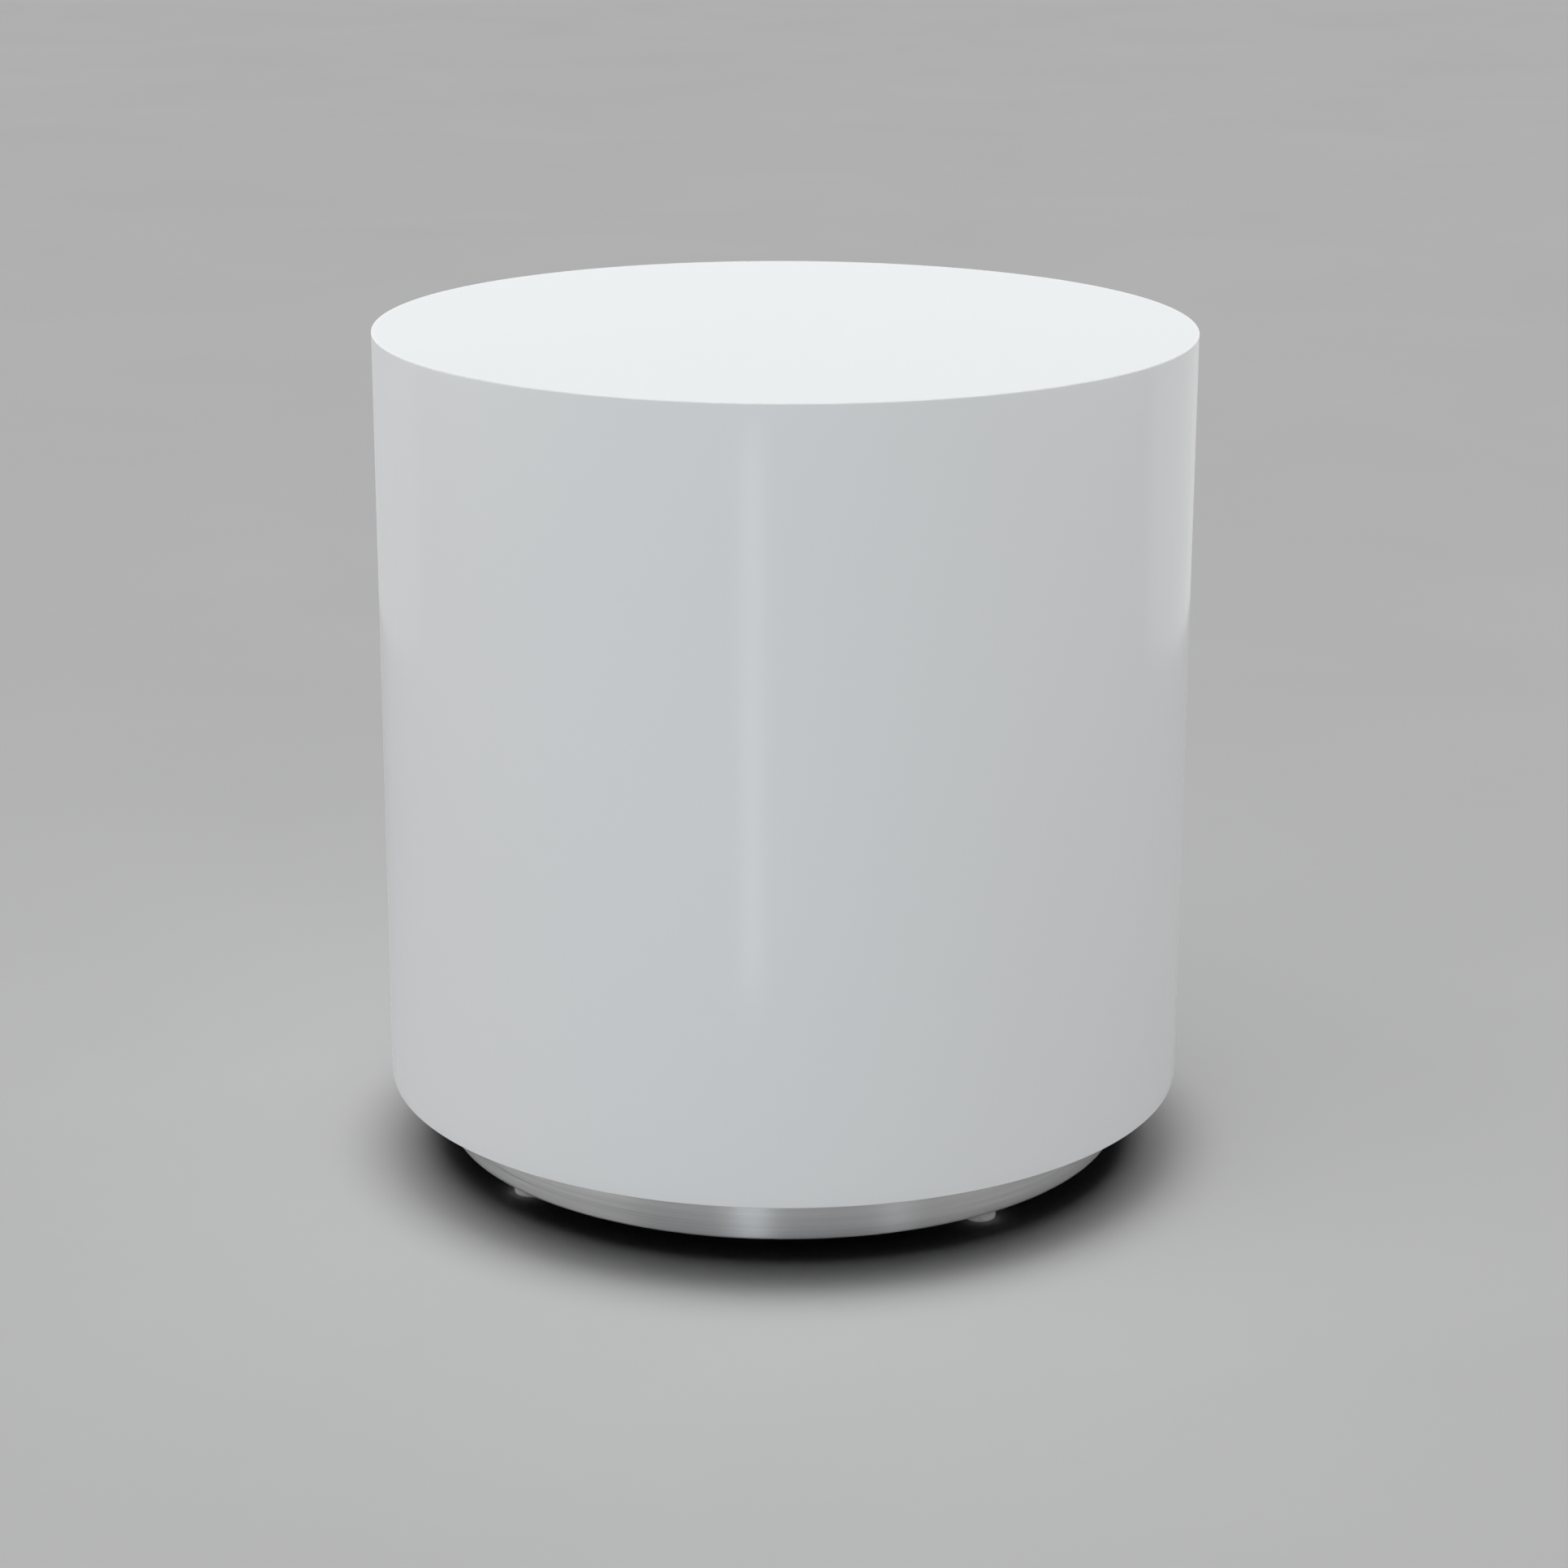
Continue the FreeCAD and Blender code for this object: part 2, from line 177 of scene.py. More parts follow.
def sliced(bm, height, up=1, clear=False):
    """Cut a shape level and return the new points. Clear takes away what lies beyond."""
    made = bmesh.ops.bisect_plane(
        bm, geom=bm.verts[:] + bm.edges[:] + bm.faces[:], dist=SLICE,
        plane_co=(0, 0, height), plane_no=(0, 0, up), clear_outer=clear,
    )
    return points_in(made["geom_cut"])


def wear_and_highlight_stops(bm, height):
    """Cut a level ring into a shape, where the edge mark (wear, and on white a painted highlight) ends.
    """
    mark_wear_and_highlight(bm, sliced(bm, height), 0.0)


print(f"slices hold to {SLICE / MM:.4f} mm")

# %% Turn a shape into a piece of the table
SHARP = math.radians(38)
scene = bpy.context.scene


def as_mesh(bm, name):
    """Store a shape as a mesh, and let the bmesh go."""
    mesh = bpy.data.meshes.new(name)
    bm.to_mesh(mesh)
    bm.free()
    return mesh


def piece(bm, name, body, slot, finish, *nodes):
    """A piece that rides on a body, wears a finish and stands for solid nodes."""
    bmesh.ops.dissolve_degenerate(bm, dist=SAME_POINT, edges=bm.edges[:])
    mesh = as_mesh(bm, name)
    mesh.shade_smooth()
    mesh.set_sharp_from_angle(angle=SHARP)
    mesh.materials.append(finish)
    made = bpy.data.objects.new(name, mesh)
    scene.collection.objects.link(made)
    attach(made, body)
    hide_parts(*nodes)
    triangles = sum(len(face.vertices) - 2 for face in mesh.polygons)
    print(f"{name}: {triangles} triangles, rides on {body}")


print(f"edges over {math.degrees(SHARP):.0f} degrees stay sharp")

# %% [markdown]
# ## Tools for finishes
# A finish is a small network of nodes, and writing it out socket by socket gets long. Each helper adds
# one kind of node and returns its output, so a finish reads like a recipe. A value knows its own network,
# so only the first nodes of a recipe are told which one it is. Colours and roughness come from noise, so
# there is detail at every distance and nothing to load.


# %% Add a node, and reckon with values
def add(tree, kind, values=None, **settings):
    """Add a node. Values go to its inputs, as numbers, colours or outputs of other nodes."""
    node = tree.nodes.new("ShaderNode" + kind)
    for label, value in settings.items():
        setattr(node, label, value)
    for label, value in (values or {}).items():
        if isinstance(value, bpy.types.NodeSocket):
            tree.links.new(value, node.inputs[label])
        else:
            node.inputs[label].default_value = value
    return node


def reckon(operation, first, second=0.0):
    """One sum on two values."""
    return add(first.id_data, "Math", {0: first, 1: second}, operation=operation).outputs[0]


def times(first, second):
    """One value times another."""
    return reckon("MULTIPLY", first, second)


def plus(first, second):
    """One value and another together."""
    return reckon("ADD", first, second)


def span(value, low, high, to_low=0.0, to_high=1.0):
    """Stretch a value from one span to another, and stop it at the ends."""
    ends = {"Value": value, "From Min": low, "From Max": high, "To Min": to_low, "To Max": to_high}
    return add(value.id_data, "MapRange", ends).outputs["Result"]


def tint(amount, first, second):
    """Mix two colours."""
    return add(amount.id_data, "Mix", {0: amount, 6: first, 7: second}, data_type="RGBA").outputs[2]


print("sums, spans and tints are ready")


# %% Place a pattern, stretch it and shake it
def on_object(tree):
    """Where a point lies on the piece, in metres."""
    return add(tree, "TexCoord").outputs["Object"]


def split(vector):
    """The three numbers of a vector."""
    return add(vector.id_data, "SeparateXYZ", {0: vector}).outputs


def facing_up(tree):
    """How far a face looks up: 1 is straight up and -1 straight down."""
    return split(add(tree, "NewGeometry").outputs["Normal"])[2]


def noise(where, scale, detail=2.0, distortion=0.0):
    """A cloudy pattern. Scale is the number of clouds in a metre."""
    values = {"Vector": where, "Scale": scale, "Detail": detail, "Distortion": distortion}
    return add(where.id_data, "TexNoise", values).outputs["Fac"]


def stretch(where, factors):
    """Squeeze or stretch a pattern along the three directions."""
    return add(where.id_data, "VectorMath", {0: where, 1: factors}, operation="MULTIPLY").outputs[0]


def shaken(where, pattern, scale, reach):
    """Shift the points of a pattern about, so that its lines wander."""
    wobble = add(where.id_data, "TexNoise", {"Vector": pattern, "Scale": scale}).outputs["Color"]
    shift = stretch(wobble, reach)
    return add(where.id_data, "VectorMath", {0: where, 1: shift}, operation="ADD").outputs[0]


print("patterns lie on each piece in metres")


# %% Start an effect or a finish
def new_effect(name, inputs, outputs):
    """A node group with named sockets, for an effect that finishes share."""
    group = bpy.data.node_groups.new(name, "ShaderNodeTree")
    for label, kind, value in inputs:
        socket = group.interface.new_socket(label, in_out="INPUT", socket_type="NodeSocket" + kind)
        if kind == "Float":
            socket.default_value = value
    for label, kind in outputs:
        group.interface.new_socket(label, in_out="OUTPUT", socket_type="NodeSocket" + kind)
    print(f"{name}: gives", ", ".join(label for label, _ in outputs))
    return group, group.nodes.new("NodeGroupInput").outputs, group.nodes.new("NodeGroupOutput").inputs


def effect(tree, group, values=None):
    """Place a shared effect in a finish, with the finish's own values."""
    return add(tree, "Group", values, node_tree=group).outputs


def shader(material):
    """The inputs of a finish's own shader."""
    return material.node_tree.nodes["Principled BSDF"].inputs


def new_finish(name, constants):
    """A material whose even values sit on the shader's own sockets."""
    material = bpy.data.materials.new(name)
    material.use_nodes = True
    for label, value in constants.items():
        shader(material)[label].default_value = value
    return material, material.node_tree


def wire(material, colour, roughness, height, depth, strength):
    """Join the recipe to the shader. Depth is how far the height goes in or out, in metres."""
    tree = material.node_tree
    bump = add(tree, "Bump", {"Height": height, "Distance": depth, "Strength": strength})
    joined = {"Base Color": colour, "Roughness": roughness, "Normal": bump.outputs["Normal"]}
    for label, value in joined.items():
        tree.links.new(value, shader(material)[label])
    print(f"{material.name}: {len(tree.nodes)} nodes")


print("effects and finishes can be mixed")

# %% [markdown]
# ## Effects that several finishes share
# Five things happen to many of these materials: a pattern runs round the drum, handling leaves smudges
# and hairlines, edges wear, and on the white sheet their mask paints a highlight, dust settles on what
# faces up, and wood shows rings and fibres. They could be painted on every piece, but as node groups
# they are built once, and each finish sets how much it shows.

# %% A measure that runs round the drum
wrap, _, result = new_effect("round_the_drum", [], [("Wrap", "Vector"), ("Radius", "Float")])
x, y, z = split(on_object(wrap))
squares = plus(reckon("POWER", x, 2.0), reckon("POWER", y, 2.0))
radius = reckon("SQRT", squares)
turn = reckon("ARCTAN2", x, times(y, -1.0))
along = times(turn, radius)
wrap.links.new(add(wrap, "CombineXYZ", {0: along, 1: radius, 2: z}).outputs[0], result["Wrap"])
wrap.links.new(radius, result["Radius"])

# %% Smudges and hairlines from handling
handled, given, result = new_effect(
    "handling_marks",
    [("Vector", "Vector", None), ("Smudge Scale", "Float", 14.0), ("Line Scale", "Float", 900.0)],
    [("Smudges", "Float"), ("Lines", "Float")],
)
patches = noise(given["Vector"], given["Smudge Scale"], detail=4.0, distortion=0.6)
handled.links.new(span(patches, 0.40, 0.75), result["Smudges"])
drawn_out = stretch(given["Vector"], (1.0, 0.04, 0.5))
hairs = span(noise(drawn_out, given["Line Scale"]), 0.66, 0.72)
handled.links.new(times(hairs, patches), result["Lines"])

# %% Edge wear, whose mask also paints a highlight on the white sheet
edge_wear_and_highlight, given, result = new_effect(
    "worn_and_highlit_edges", [("Vector", "Vector", None), ("Breaks", "Float", 60.0)], [("Wear And Highlight", "Float")],
)
edge = add(edge_wear_and_highlight, "Attribute", attribute_name=WEAR_AND_HIGHLIGHT).outputs["Fac"]
patchy = span(noise(given["Vector"], given["Breaks"], detail=3.0), 0.30, 0.62, 0.25, 1.0)
edge_wear_and_highlight.links.new(times(reckon("POWER", edge, 2.0), patchy), result["Wear And Highlight"])

# %% Dust on what faces up
dusty, given, result = new_effect(
    "settled_dust", [("Vector", "Vector", None), ("Amount", "Float", 0.5)], [("Dust", "Float")],
)
upward = span(facing_up(dusty), 0.35, 0.95)
drifts = span(noise(given["Vector"], 11.0, detail=3.0), 0.35, 0.75, 0.25, 1.0)
specks = span(noise(given["Vector"], 1900.0, detail=1.0), 0.58, 0.74)
grains = plus(times(specks, 0.75), 0.25)
fallen = times(times(upward, drifts), grains)
dusty.links.new(times(fallen, given["Amount"]), result["Dust"])

# %% Wood fibres and growth rings
fibrous, given, result = new_effect(
    "wood_fibres",
    [("Vector", "Vector", None), ("Ring Scale", "Float", 160.0)],
    [("Rings", "Float"), ("Fibres", "Float")],
)
slow = stretch(given["Vector"], (1.0, 1.0, 0.12))
bent = shaken(given["Vector"], slow, 18.0, (0.02, 0.02, 0.0))
across = stretch(bent, (1.0, 0.55, 0.02))
growth = add(
    fibrous, "TexWave",
    {"Vector": across, "Scale": given["Ring Scale"], "Distortion": 1.2, "Detail": 2.0},
    wave_type="BANDS", bands_direction="X", wave_profile="SAW",
)
fibrous.links.new(growth.outputs["Fac"], result["Rings"])
lengthwise = stretch(given["Vector"], (1.0, 1.0, 0.03))
fibrous.links.new(noise(lengthwise, 1400.0, detail=3.0), result["Fibres"])

# %% [markdown]
# ## White laminate
# The drum wears a thin hard sheet with a satin face. Plain white would look like plaster, so the eye
# needs the small things: a faint cloudiness, a pebbled face that breaks up reflections, smudges that
# change the gloss, and rounded edges painted a little lighter as a highlight. All stay weak, because
# the real sheet is clean.

# %% Mix the white laminate
COOL_WHITE = (0.800, 0.813, 0.825, 1)
PALE_WHITE = (0.810, 0.823, 0.833, 1)
HOUSE_DUST = (0.60, 0.585, 0.56, 1)
# Painted highlight: the colour that the white sheet's rounded edges are lightened to
WHITE_EDGE_HIGHLIGHT = (0.90, 0.905, 0.91, 1)


def used(tree, place, smudges, lines, breaks):
    """Handling marks, and an edge mask for wear and a painted highlight, by how many of each are in a
    metre.
    """
    marks = effect(tree, handled, {"Vector": place, "Smudge Scale": smudges, "Line Scale": lines})
    return marks, effect(tree, edge_wear_and_highlight, {"Vector": place, "Breaks": breaks})["Wear And Highlight"]


white, tree = new_finish("white_laminate", {"IOR": 1.5})
place = on_object(tree)
marks, edges = used(tree, place, smudges=6.0, lines=900.0, breaks=45.0)
dust = effect(tree, dusty, {"Vector": place, "Amount": 0.05})["Dust"]
cloudy = span(noise(place, 3.0, detail=1.0, distortion=0.2), 0.3, 0.7)
colour = tint(cloudy, COOL_WHITE, PALE_WHITE)
colour = tint(dust, colour, HOUSE_DUST)
# Painted highlight: the rounded edges are painted lighter, as if they caught the light
colour = tint(times(edges, 0.55), colour, WHITE_EDGE_HIGHLIGHT)
rough = span(marks["Smudges"], 0.0, 1.0, 0.145, 0.16)
rough = plus(rough, times(marks["Lines"], 0.05))
rough = plus(rough, times(dust, 0.5))
pebbles = noise(place, 1300.0)
relief = reckon("SUBTRACT", pebbles, times(marks["Lines"], 0.3))
wire(white, colour, rough, relief, depth=0.008 * MM, strength=0.6)

# %% [markdown]
# ## Brushed steel
# The strip round the plinth was brushed along its length, so thousands of fine grooves run round it. They
# are too many to be modelled. Noise that is stretched along the arc gives the streaks, and an anisotropic
# shader spreads reflections across the grooves, which makes the upright flare of such steel.

# %% Mix the brushed steel
DULL_STEEL = (0.63, 0.633, 0.64, 1)
PALE_STEEL = (0.74, 0.742, 0.746, 1)
SMUDGED_STEEL = (0.42, 0.42, 0.42, 1)
STEEL_EDGE = (0.76, 0.76, 0.765, 1)
brushed = {"Metallic": 1.0, "Anisotropic": 0.85, "Anisotropic Rotation": 0.25}
steel, tree = new_finish("brushed_band", brushed)
place = effect(tree, wrap)["Wrap"]
fine = noise(stretch(place, (9.0, 1.0, 3600.0)), 1.0, detail=3.0)
broad = noise(stretch(place, (3.0, 1.0, 520.0)), 1.0)
streaks = plus(times(fine, 0.65), times(broad, 0.35))
marks, edges = used(tree, place, smudges=9.0, lines=1200.0, breaks=70.0)
colour = tint(span(streaks, 0.36, 0.64), DULL_STEEL, PALE_STEEL)
colour = tint(times(marks["Smudges"], 0.05), colour, SMUDGED_STEEL)
colour = tint(times(edges, 0.6), colour, STEEL_EDGE)
rough = span(streaks, 0.35, 0.65, 0.28, 0.38)
rough = plus(rough, times(marks["Smudges"], 0.03))
grooves = add(tree, "Tangent", direction_type="RADIAL", axis="Z").outputs[0]
tree.links.new(grooves, shader(steel)["Tangent"])
wire(steel, colour, rough, streaks, depth=0.006 * MM, strength=0.5)

# %% [markdown]
# ## Zinc plate and nylon
# The fittings under the table are plated steel, with a slightly blue, cloudy skin that rubs bright on the
# edges. The feet are moulded nylon with a fine grain, and their soles are grey from the floor. A plain
# grey would do from afar, but a hand meets these when the table is levelled, so both get a skin.

# %% Mix the zinc plate
BLUE_ZINC = (0.52, 0.545, 0.575, 1)
PALE_ZINC = (0.67, 0.675, 0.66, 1)
DULL_ZINC = (0.47, 0.47, 0.45, 1)
ZINC_EDGE = (0.78, 0.78, 0.785, 1)
zinc, tree = new_finish("zinc_steel", {"Metallic": 1.0})
place = on_object(tree)
marks, edges = used(tree, place, smudges=160.0, lines=2400.0, breaks=420.0)
mottle = span(noise(place, 620.0, detail=4.0, distortion=0.5), 0.32, 0.68)
colour = tint(mottle, BLUE_ZINC, PALE_ZINC)
colour = tint(times(marks["Smudges"], 0.35), colour, DULL_ZINC)
colour = tint(edges, colour, ZINC_EDGE)
rough = span(mottle, 0.0, 1.0, 0.46, 0.30)
rough = reckon("SUBTRACT", rough, times(edges, 0.08))
wire(zinc, colour, rough, noise(place, 2600.0), depth=0.02 * MM, strength=0.5)

# %% Mix the moulded nylon
WARM_NYLON = (0.60, 0.60, 0.58, 1)
PALE_NYLON = (0.68, 0.68, 0.665, 1)
FLOOR_GRIME = (0.20, 0.19, 0.18, 1)
NYLON_EDGE = (0.74, 0.74, 0.73, 1)
GRIME_HEIGHT = 2.2 * MM
nylon, tree = new_finish("glide_nylon", {"IOR": 1.53})
place = on_object(tree)
marks, edges = used(tree, place, smudges=120.0, lines=2000.0, breaks=300.0)
cloudy = span(noise(place, 240.0, detail=3.0), 0.3, 0.7)
near_floor = span(split(place)[2], 0.0, GRIME_HEIGHT, 0.85, 0.0)
blotches = span(noise(place, 700.0, detail=3.0), 0.35, 0.6, 0.4, 1.0)
grime = times(near_floor, blotches)
colour = tint(cloudy, WARM_NYLON, PALE_NYLON)
colour = tint(grime, colour, FLOOR_GRIME)
colour = tint(times(edges, 0.3), colour, NYLON_EDGE)
rough = span(marks["Smudges"], 0.0, 1.0, 0.42, 0.55)
rough = plus(rough, times(grime, 0.25))
wire(nylon, colour, rough, noise(place, 3800.0), depth=0.04 * MM, strength=0.6)

# %% [markdown]
# ## Board, plywood and softwood
# Turned over, the table shows what it is made of. The discs and rings are chipboard, the wall and the
# hoop are thin plywood bent round, and the uprights and blocks are pine. A picture of wood could be
# wrapped over them, but it would break at every cut. Noise in space does not, so cut edges show the
# inside of the material.

# %% Mix the chipboard
DARK_FLAKE = (0.40, 0.31, 0.215, 1)
PALE_FLAKE = (0.61, 0.51, 0.385, 1)
CRUMB = (0.54, 0.44, 0.325, 1)
CREVICE = (0.25, 0.18, 0.12, 1)
BARK = (0.24, 0.155, 0.09, 1)
SAWDUST = (0.62, 0.57, 0.49, 1)
board, tree = new_finish("board", {"IOR": 1.45})
place = on_object(tree)
pressed = shaken(place, place, 60.0, (0.006, 0.006, 0.006))
flat_one_way = stretch(pressed, (1.0, 2.2, 2.6))
flat_other_way = stretch(pressed, (2.4, 1.0, 2.6))
large = add(tree, "TexVoronoi", {"Vector": flat_one_way, "Scale": 170.0}, feature="F1").outputs
small = add(tree, "TexVoronoi", {"Vector": flat_other_way, "Scale": 430.0}, feature="F1").outputs
flakes = add(tree, "SeparateColor", {0: large["Color"]}).outputs[0]
crumbs = add(tree, "SeparateColor", {0: small["Color"]}).outputs[1]
specks = span(noise(place, 700.0), 0.64, 0.74, 0.0, 0.7)
dust = effect(tree, dusty, {"Vector": place, "Amount": 0.5})["Dust"]
colour = tint(flakes, DARK_FLAKE, PALE_FLAKE)
colour = tint(span(crumbs, 0.2, 1.0, 0.0, 0.55), colour, CRUMB)
colour = tint(span(small["Distance"], 0.45, 0.75, 0.0, 0.16), colour, CREVICE)
colour = tint(specks, colour, BARK)
colour = tint(dust, colour, SAWDUST)
rough = span(crumbs, 0.0, 1.0, 0.66, 0.82)
wire(board, colour, rough, plus(flakes, crumbs), depth=0.12 * MM, strength=0.6)

# %% Mix the bent plywood
TWO_PLIES = 3 * MM
FACE_PLY = (0.69, 0.53, 0.35, 1)
FACE_RING = (0.58, 0.415, 0.25, 1)
PLY_FIBRE = (0.45, 0.31, 0.18, 1)
END_GRAIN = (0.46, 0.315, 0.185, 1)
LONG_GRAIN = (0.70, 0.545, 0.365, 1)
GLUE_LINE = (0.17, 0.10, 0.055, 1)
plywood, tree = new_finish("plywood", {"IOR": 1.45})
path = effect(tree, wrap)
grain = effect(tree, fibrous, {"Vector": path["Wrap"], "Ring Scale": 45.0})
on_edge = span(reckon("ABSOLUTE", facing_up(tree)), 0.6, 0.8)
layers = reckon("SINE", times(path["Radius"], math.tau / TWO_PLIES))
ply = span(layers, -0.15, 0.15)
glue = span(reckon("ABSOLUTE", layers), 0.0, 0.22, 1.0, 0.0)
colour = tint(grain["Rings"], FACE_PLY, FACE_RING)
colour = tint(span(grain["Fibres"], 0.4, 0.75, 0.0, 0.5), colour, PLY_FIBRE)
cut = tint(ply, END_GRAIN, LONG_GRAIN)
cut = tint(times(glue, 0.75), cut, GLUE_LINE)
colour = tint(on_edge, colour, cut)
rough = span(grain["Fibres"], 0.3, 0.7, 0.58, 0.74)
wire(plywood, colour, rough, grain["Fibres"], depth=0.08 * MM, strength=0.6)

# %% Mix the pine, with its fibres upright or lying
EARLY_WOOD = (0.74, 0.575, 0.375, 1)
LATE_WOOD = (0.55, 0.345, 0.175, 1)
PINE_FIBRE = (0.47, 0.31, 0.165, 1)


def pine(name, order):
    """Pine whose fibres run along the third direction of the given order of axes."""
    material, tree = new_finish(name, {"IOR": 1.45})
    axes = split(effect(tree, wrap)["Wrap"])
    place = add(tree, "CombineXYZ", {i: axes[axis] for i, axis in enumerate(order)}).outputs[0]
    grain = effect(tree, fibrous, {"Vector": place, "Ring Scale": 70.0})
    colour = tint(span(grain["Rings"], 0.35, 1.0), EARLY_WOOD, LATE_WOOD)
    colour = tint(span(grain["Fibres"], 0.45, 0.8, 0.0, 0.45), colour, PINE_FIBRE)
    rough = span(grain["Rings"], 0.0, 1.0, 0.66, 0.52)
    relief = plus(grain["Fibres"], times(grain["Rings"], 0.5))
    wire(material, colour, rough, relief, depth=0.1 * MM, strength=0.6)
    return material


pine_upright = pine("pine_upright", (0, 1, 2))
pine_lying = pine("pine_lying", (2, 1, 0))

# %% [markdown]
# ## Finishes for the solid pieces
# A solid piece that has the right shape keeps it and only changes its finish. That goes for everything
# made of wood: the boards, the bent wall, the uprights and the blocks. They could be built again here,
# but their shapes are plain because the saw left them plain.

# %% Dress the wooden pieces
WOODEN = {
    board: ["top_panel", "bottom_panel", "upper_former", "middle_former"],
    plywood: ["wall_core", "plinth_hoop"],
    pine_upright: [name for name in nodes if name.startswith("batten_") and name != "batten_screws"],
    pine_lying: [name for name in nodes if name.startswith("glide_block_")],
}
for finish, names in WOODEN.items():
    for name in names:
        for slot in nodes[name].material_slots:
            slot.material = finish
    print(finish.name, "on", ", ".join(names))

# %% [markdown]
# ## The sheet on the top
# One disc of white sheet laps over the sheet on the side, and its edge is filed to a small round. A
# cylinder would do, but its sharp rim would stay black or white. So a circle is raised by the sheet's
# thickness, a ring is inset near the rim to keep the shading flat, and the rim is rounded over.

# %% Make the top sheet
EASE = 0.5 * MM
RIM = 4 * MM
bm = new_shape()
bmesh.ops.create_circle(bm, cap_ends=True, radius=DRUM_RADIUS, segments=ROUND)
bmesh.ops.translate(bm, verts=bm.verts[:], vec=(0, 0, top_low.z))
pulled(bm, bm.faces[:], (0, 0, SHEET), keep=True)
closed(bm)
lid = max(bm.faces, key=lambda face: face.calc_center_median().z)
bmesh.ops.inset_region(bm, faces=[lid], thickness=RIM)
# Painted highlight: the rounded rim is marked, and the white finish paints it lighter
rounded(bm, ring(bm, DRUM_RADIUS, top_high.z), EASE, segments=4)
piece(bm, "top_sheet", "table", "white_laminate", white, "top_laminate")

# %% [markdown]
# ## The sheet round the side
# The second sheet is bent round the drum, and its ends meet in a fine upright seam at the back. It could
# be a tube, but then the seam would have to be painted. Here the strip's cross-section is turned nearly
# all the way round, so the ends are real and stop a hair apart. The steel strip is made the same way.


# %% Bend a strip and find its seam
def bent_strip(radius, thickness, low, high, seam):
    """A strip bent about the upright axis, with the gap between its ends at the back."""
    bm = new_shape()
    half_gap = math.asin(seam / 2 / radius)
    inside = radius - thickness
    outline = [(radius, low), (radius, high), (inside, high), (inside, low)]
    corners = [bm.verts.new((across, 0.0, up)) for across, up in outline]
    section = bm.faces.new(corners)
    start = Matrix.Rotation(math.pi / 2 + half_gap, 3, "Z")
    bmesh.ops.rotate(bm, verts=corners, cent=(0, 0, 0), matrix=start)
    turned(bm, corners + section.edges[:] + [section], math.tau - 2 * half_gap, ROUND)
    closed(bm)
    return bm


def seam_edges(bm, radius, seam):
    """The two upright edges of the seam on the outer face."""
    def there(vert):
        return vert.co.y > 0 and abs(vert.co.x) < seam and abs(vert.co.xy.length - radius) < NEAR
    return [edge for edge in edges_where(bm, there) if edge.calc_length() > seam]


print("seams lie at the back")

# %% Make the side sheet
SIDE_SEAM = 0.2 * MM
SEAM_EASE = 0.15 * MM
SIDE_WEAR_AND_HIGHLIGHT = 5 * MM
bm = bent_strip(DRUM_RADIUS, SHEET, side_low.z, side_high.z, SIDE_SEAM)
# Painted highlight: the lower rim and the seam are marked, and the white finish paints them lighter
rounded(bm, ring(bm, DRUM_RADIUS, side_low.z), EASE, segments=4)
wear_and_highlight_stops(bm, side_low.z + SIDE_WEAR_AND_HIGHLIGHT)
rounded(bm, seam_edges(bm, DRUM_RADIUS, SIDE_SEAM), SEAM_EASE, segments=2)
piece(bm, "side_sheet", "table", "white_laminate", white, "wall_laminate")

# %% [markdown]
# ## The steel strip on the plinth
# The strip is under a millimetre thick, and its long edges were only broken with a file. It could be one
# surface, but from below its lower edge shows as a bright line. So it has its real thickness, a tiny
# round on both outer edges, and rings of points close to them that keep the rubbed look narrow.

# %% Make the steel strip
BAND = 0.8 * MM
BAND_SEAM = 0.4 * MM
BAND_EASE = 0.25 * MM
BAND_WEAR = 1.2 * MM
bm = bent_strip(PLINTH_RADIUS, BAND, band_low.z, band_high.z, BAND_SEAM)
long_edges = ring(bm, PLINTH_RADIUS, band_low.z) + ring(bm, PLINTH_RADIUS, band_high.z)
rounded(bm, long_edges, BAND_EASE, segments=2)
wear_and_highlight_stops(bm, band_low.z + BAND_WEAR)
wear_and_highlight_stops(bm, band_high.z - BAND_WEAR)
rounded(bm, seam_edges(bm, PLINTH_RADIUS, BAND_SEAM), SEAM_EASE, segments=2)
piece(bm, "plinth_strip", "table", "brushed_band", steel, "plinth_band")

# %% [markdown]
# ## Screws
# Plain screws with a cross recess hold the wood together, and four small ones hold the strip beside its
# seam. A painted cross would vanish in a close view. So the recess is real: a ring of points is pulled
# into a cross, bridged to the round head, and pressed in with a taper. One recipe serves every screw with
# its own outline.

# %% Press a cross recess into a head and draw the shank
SCREW_SIDES = 24
RECESS_TAPER = 0.55


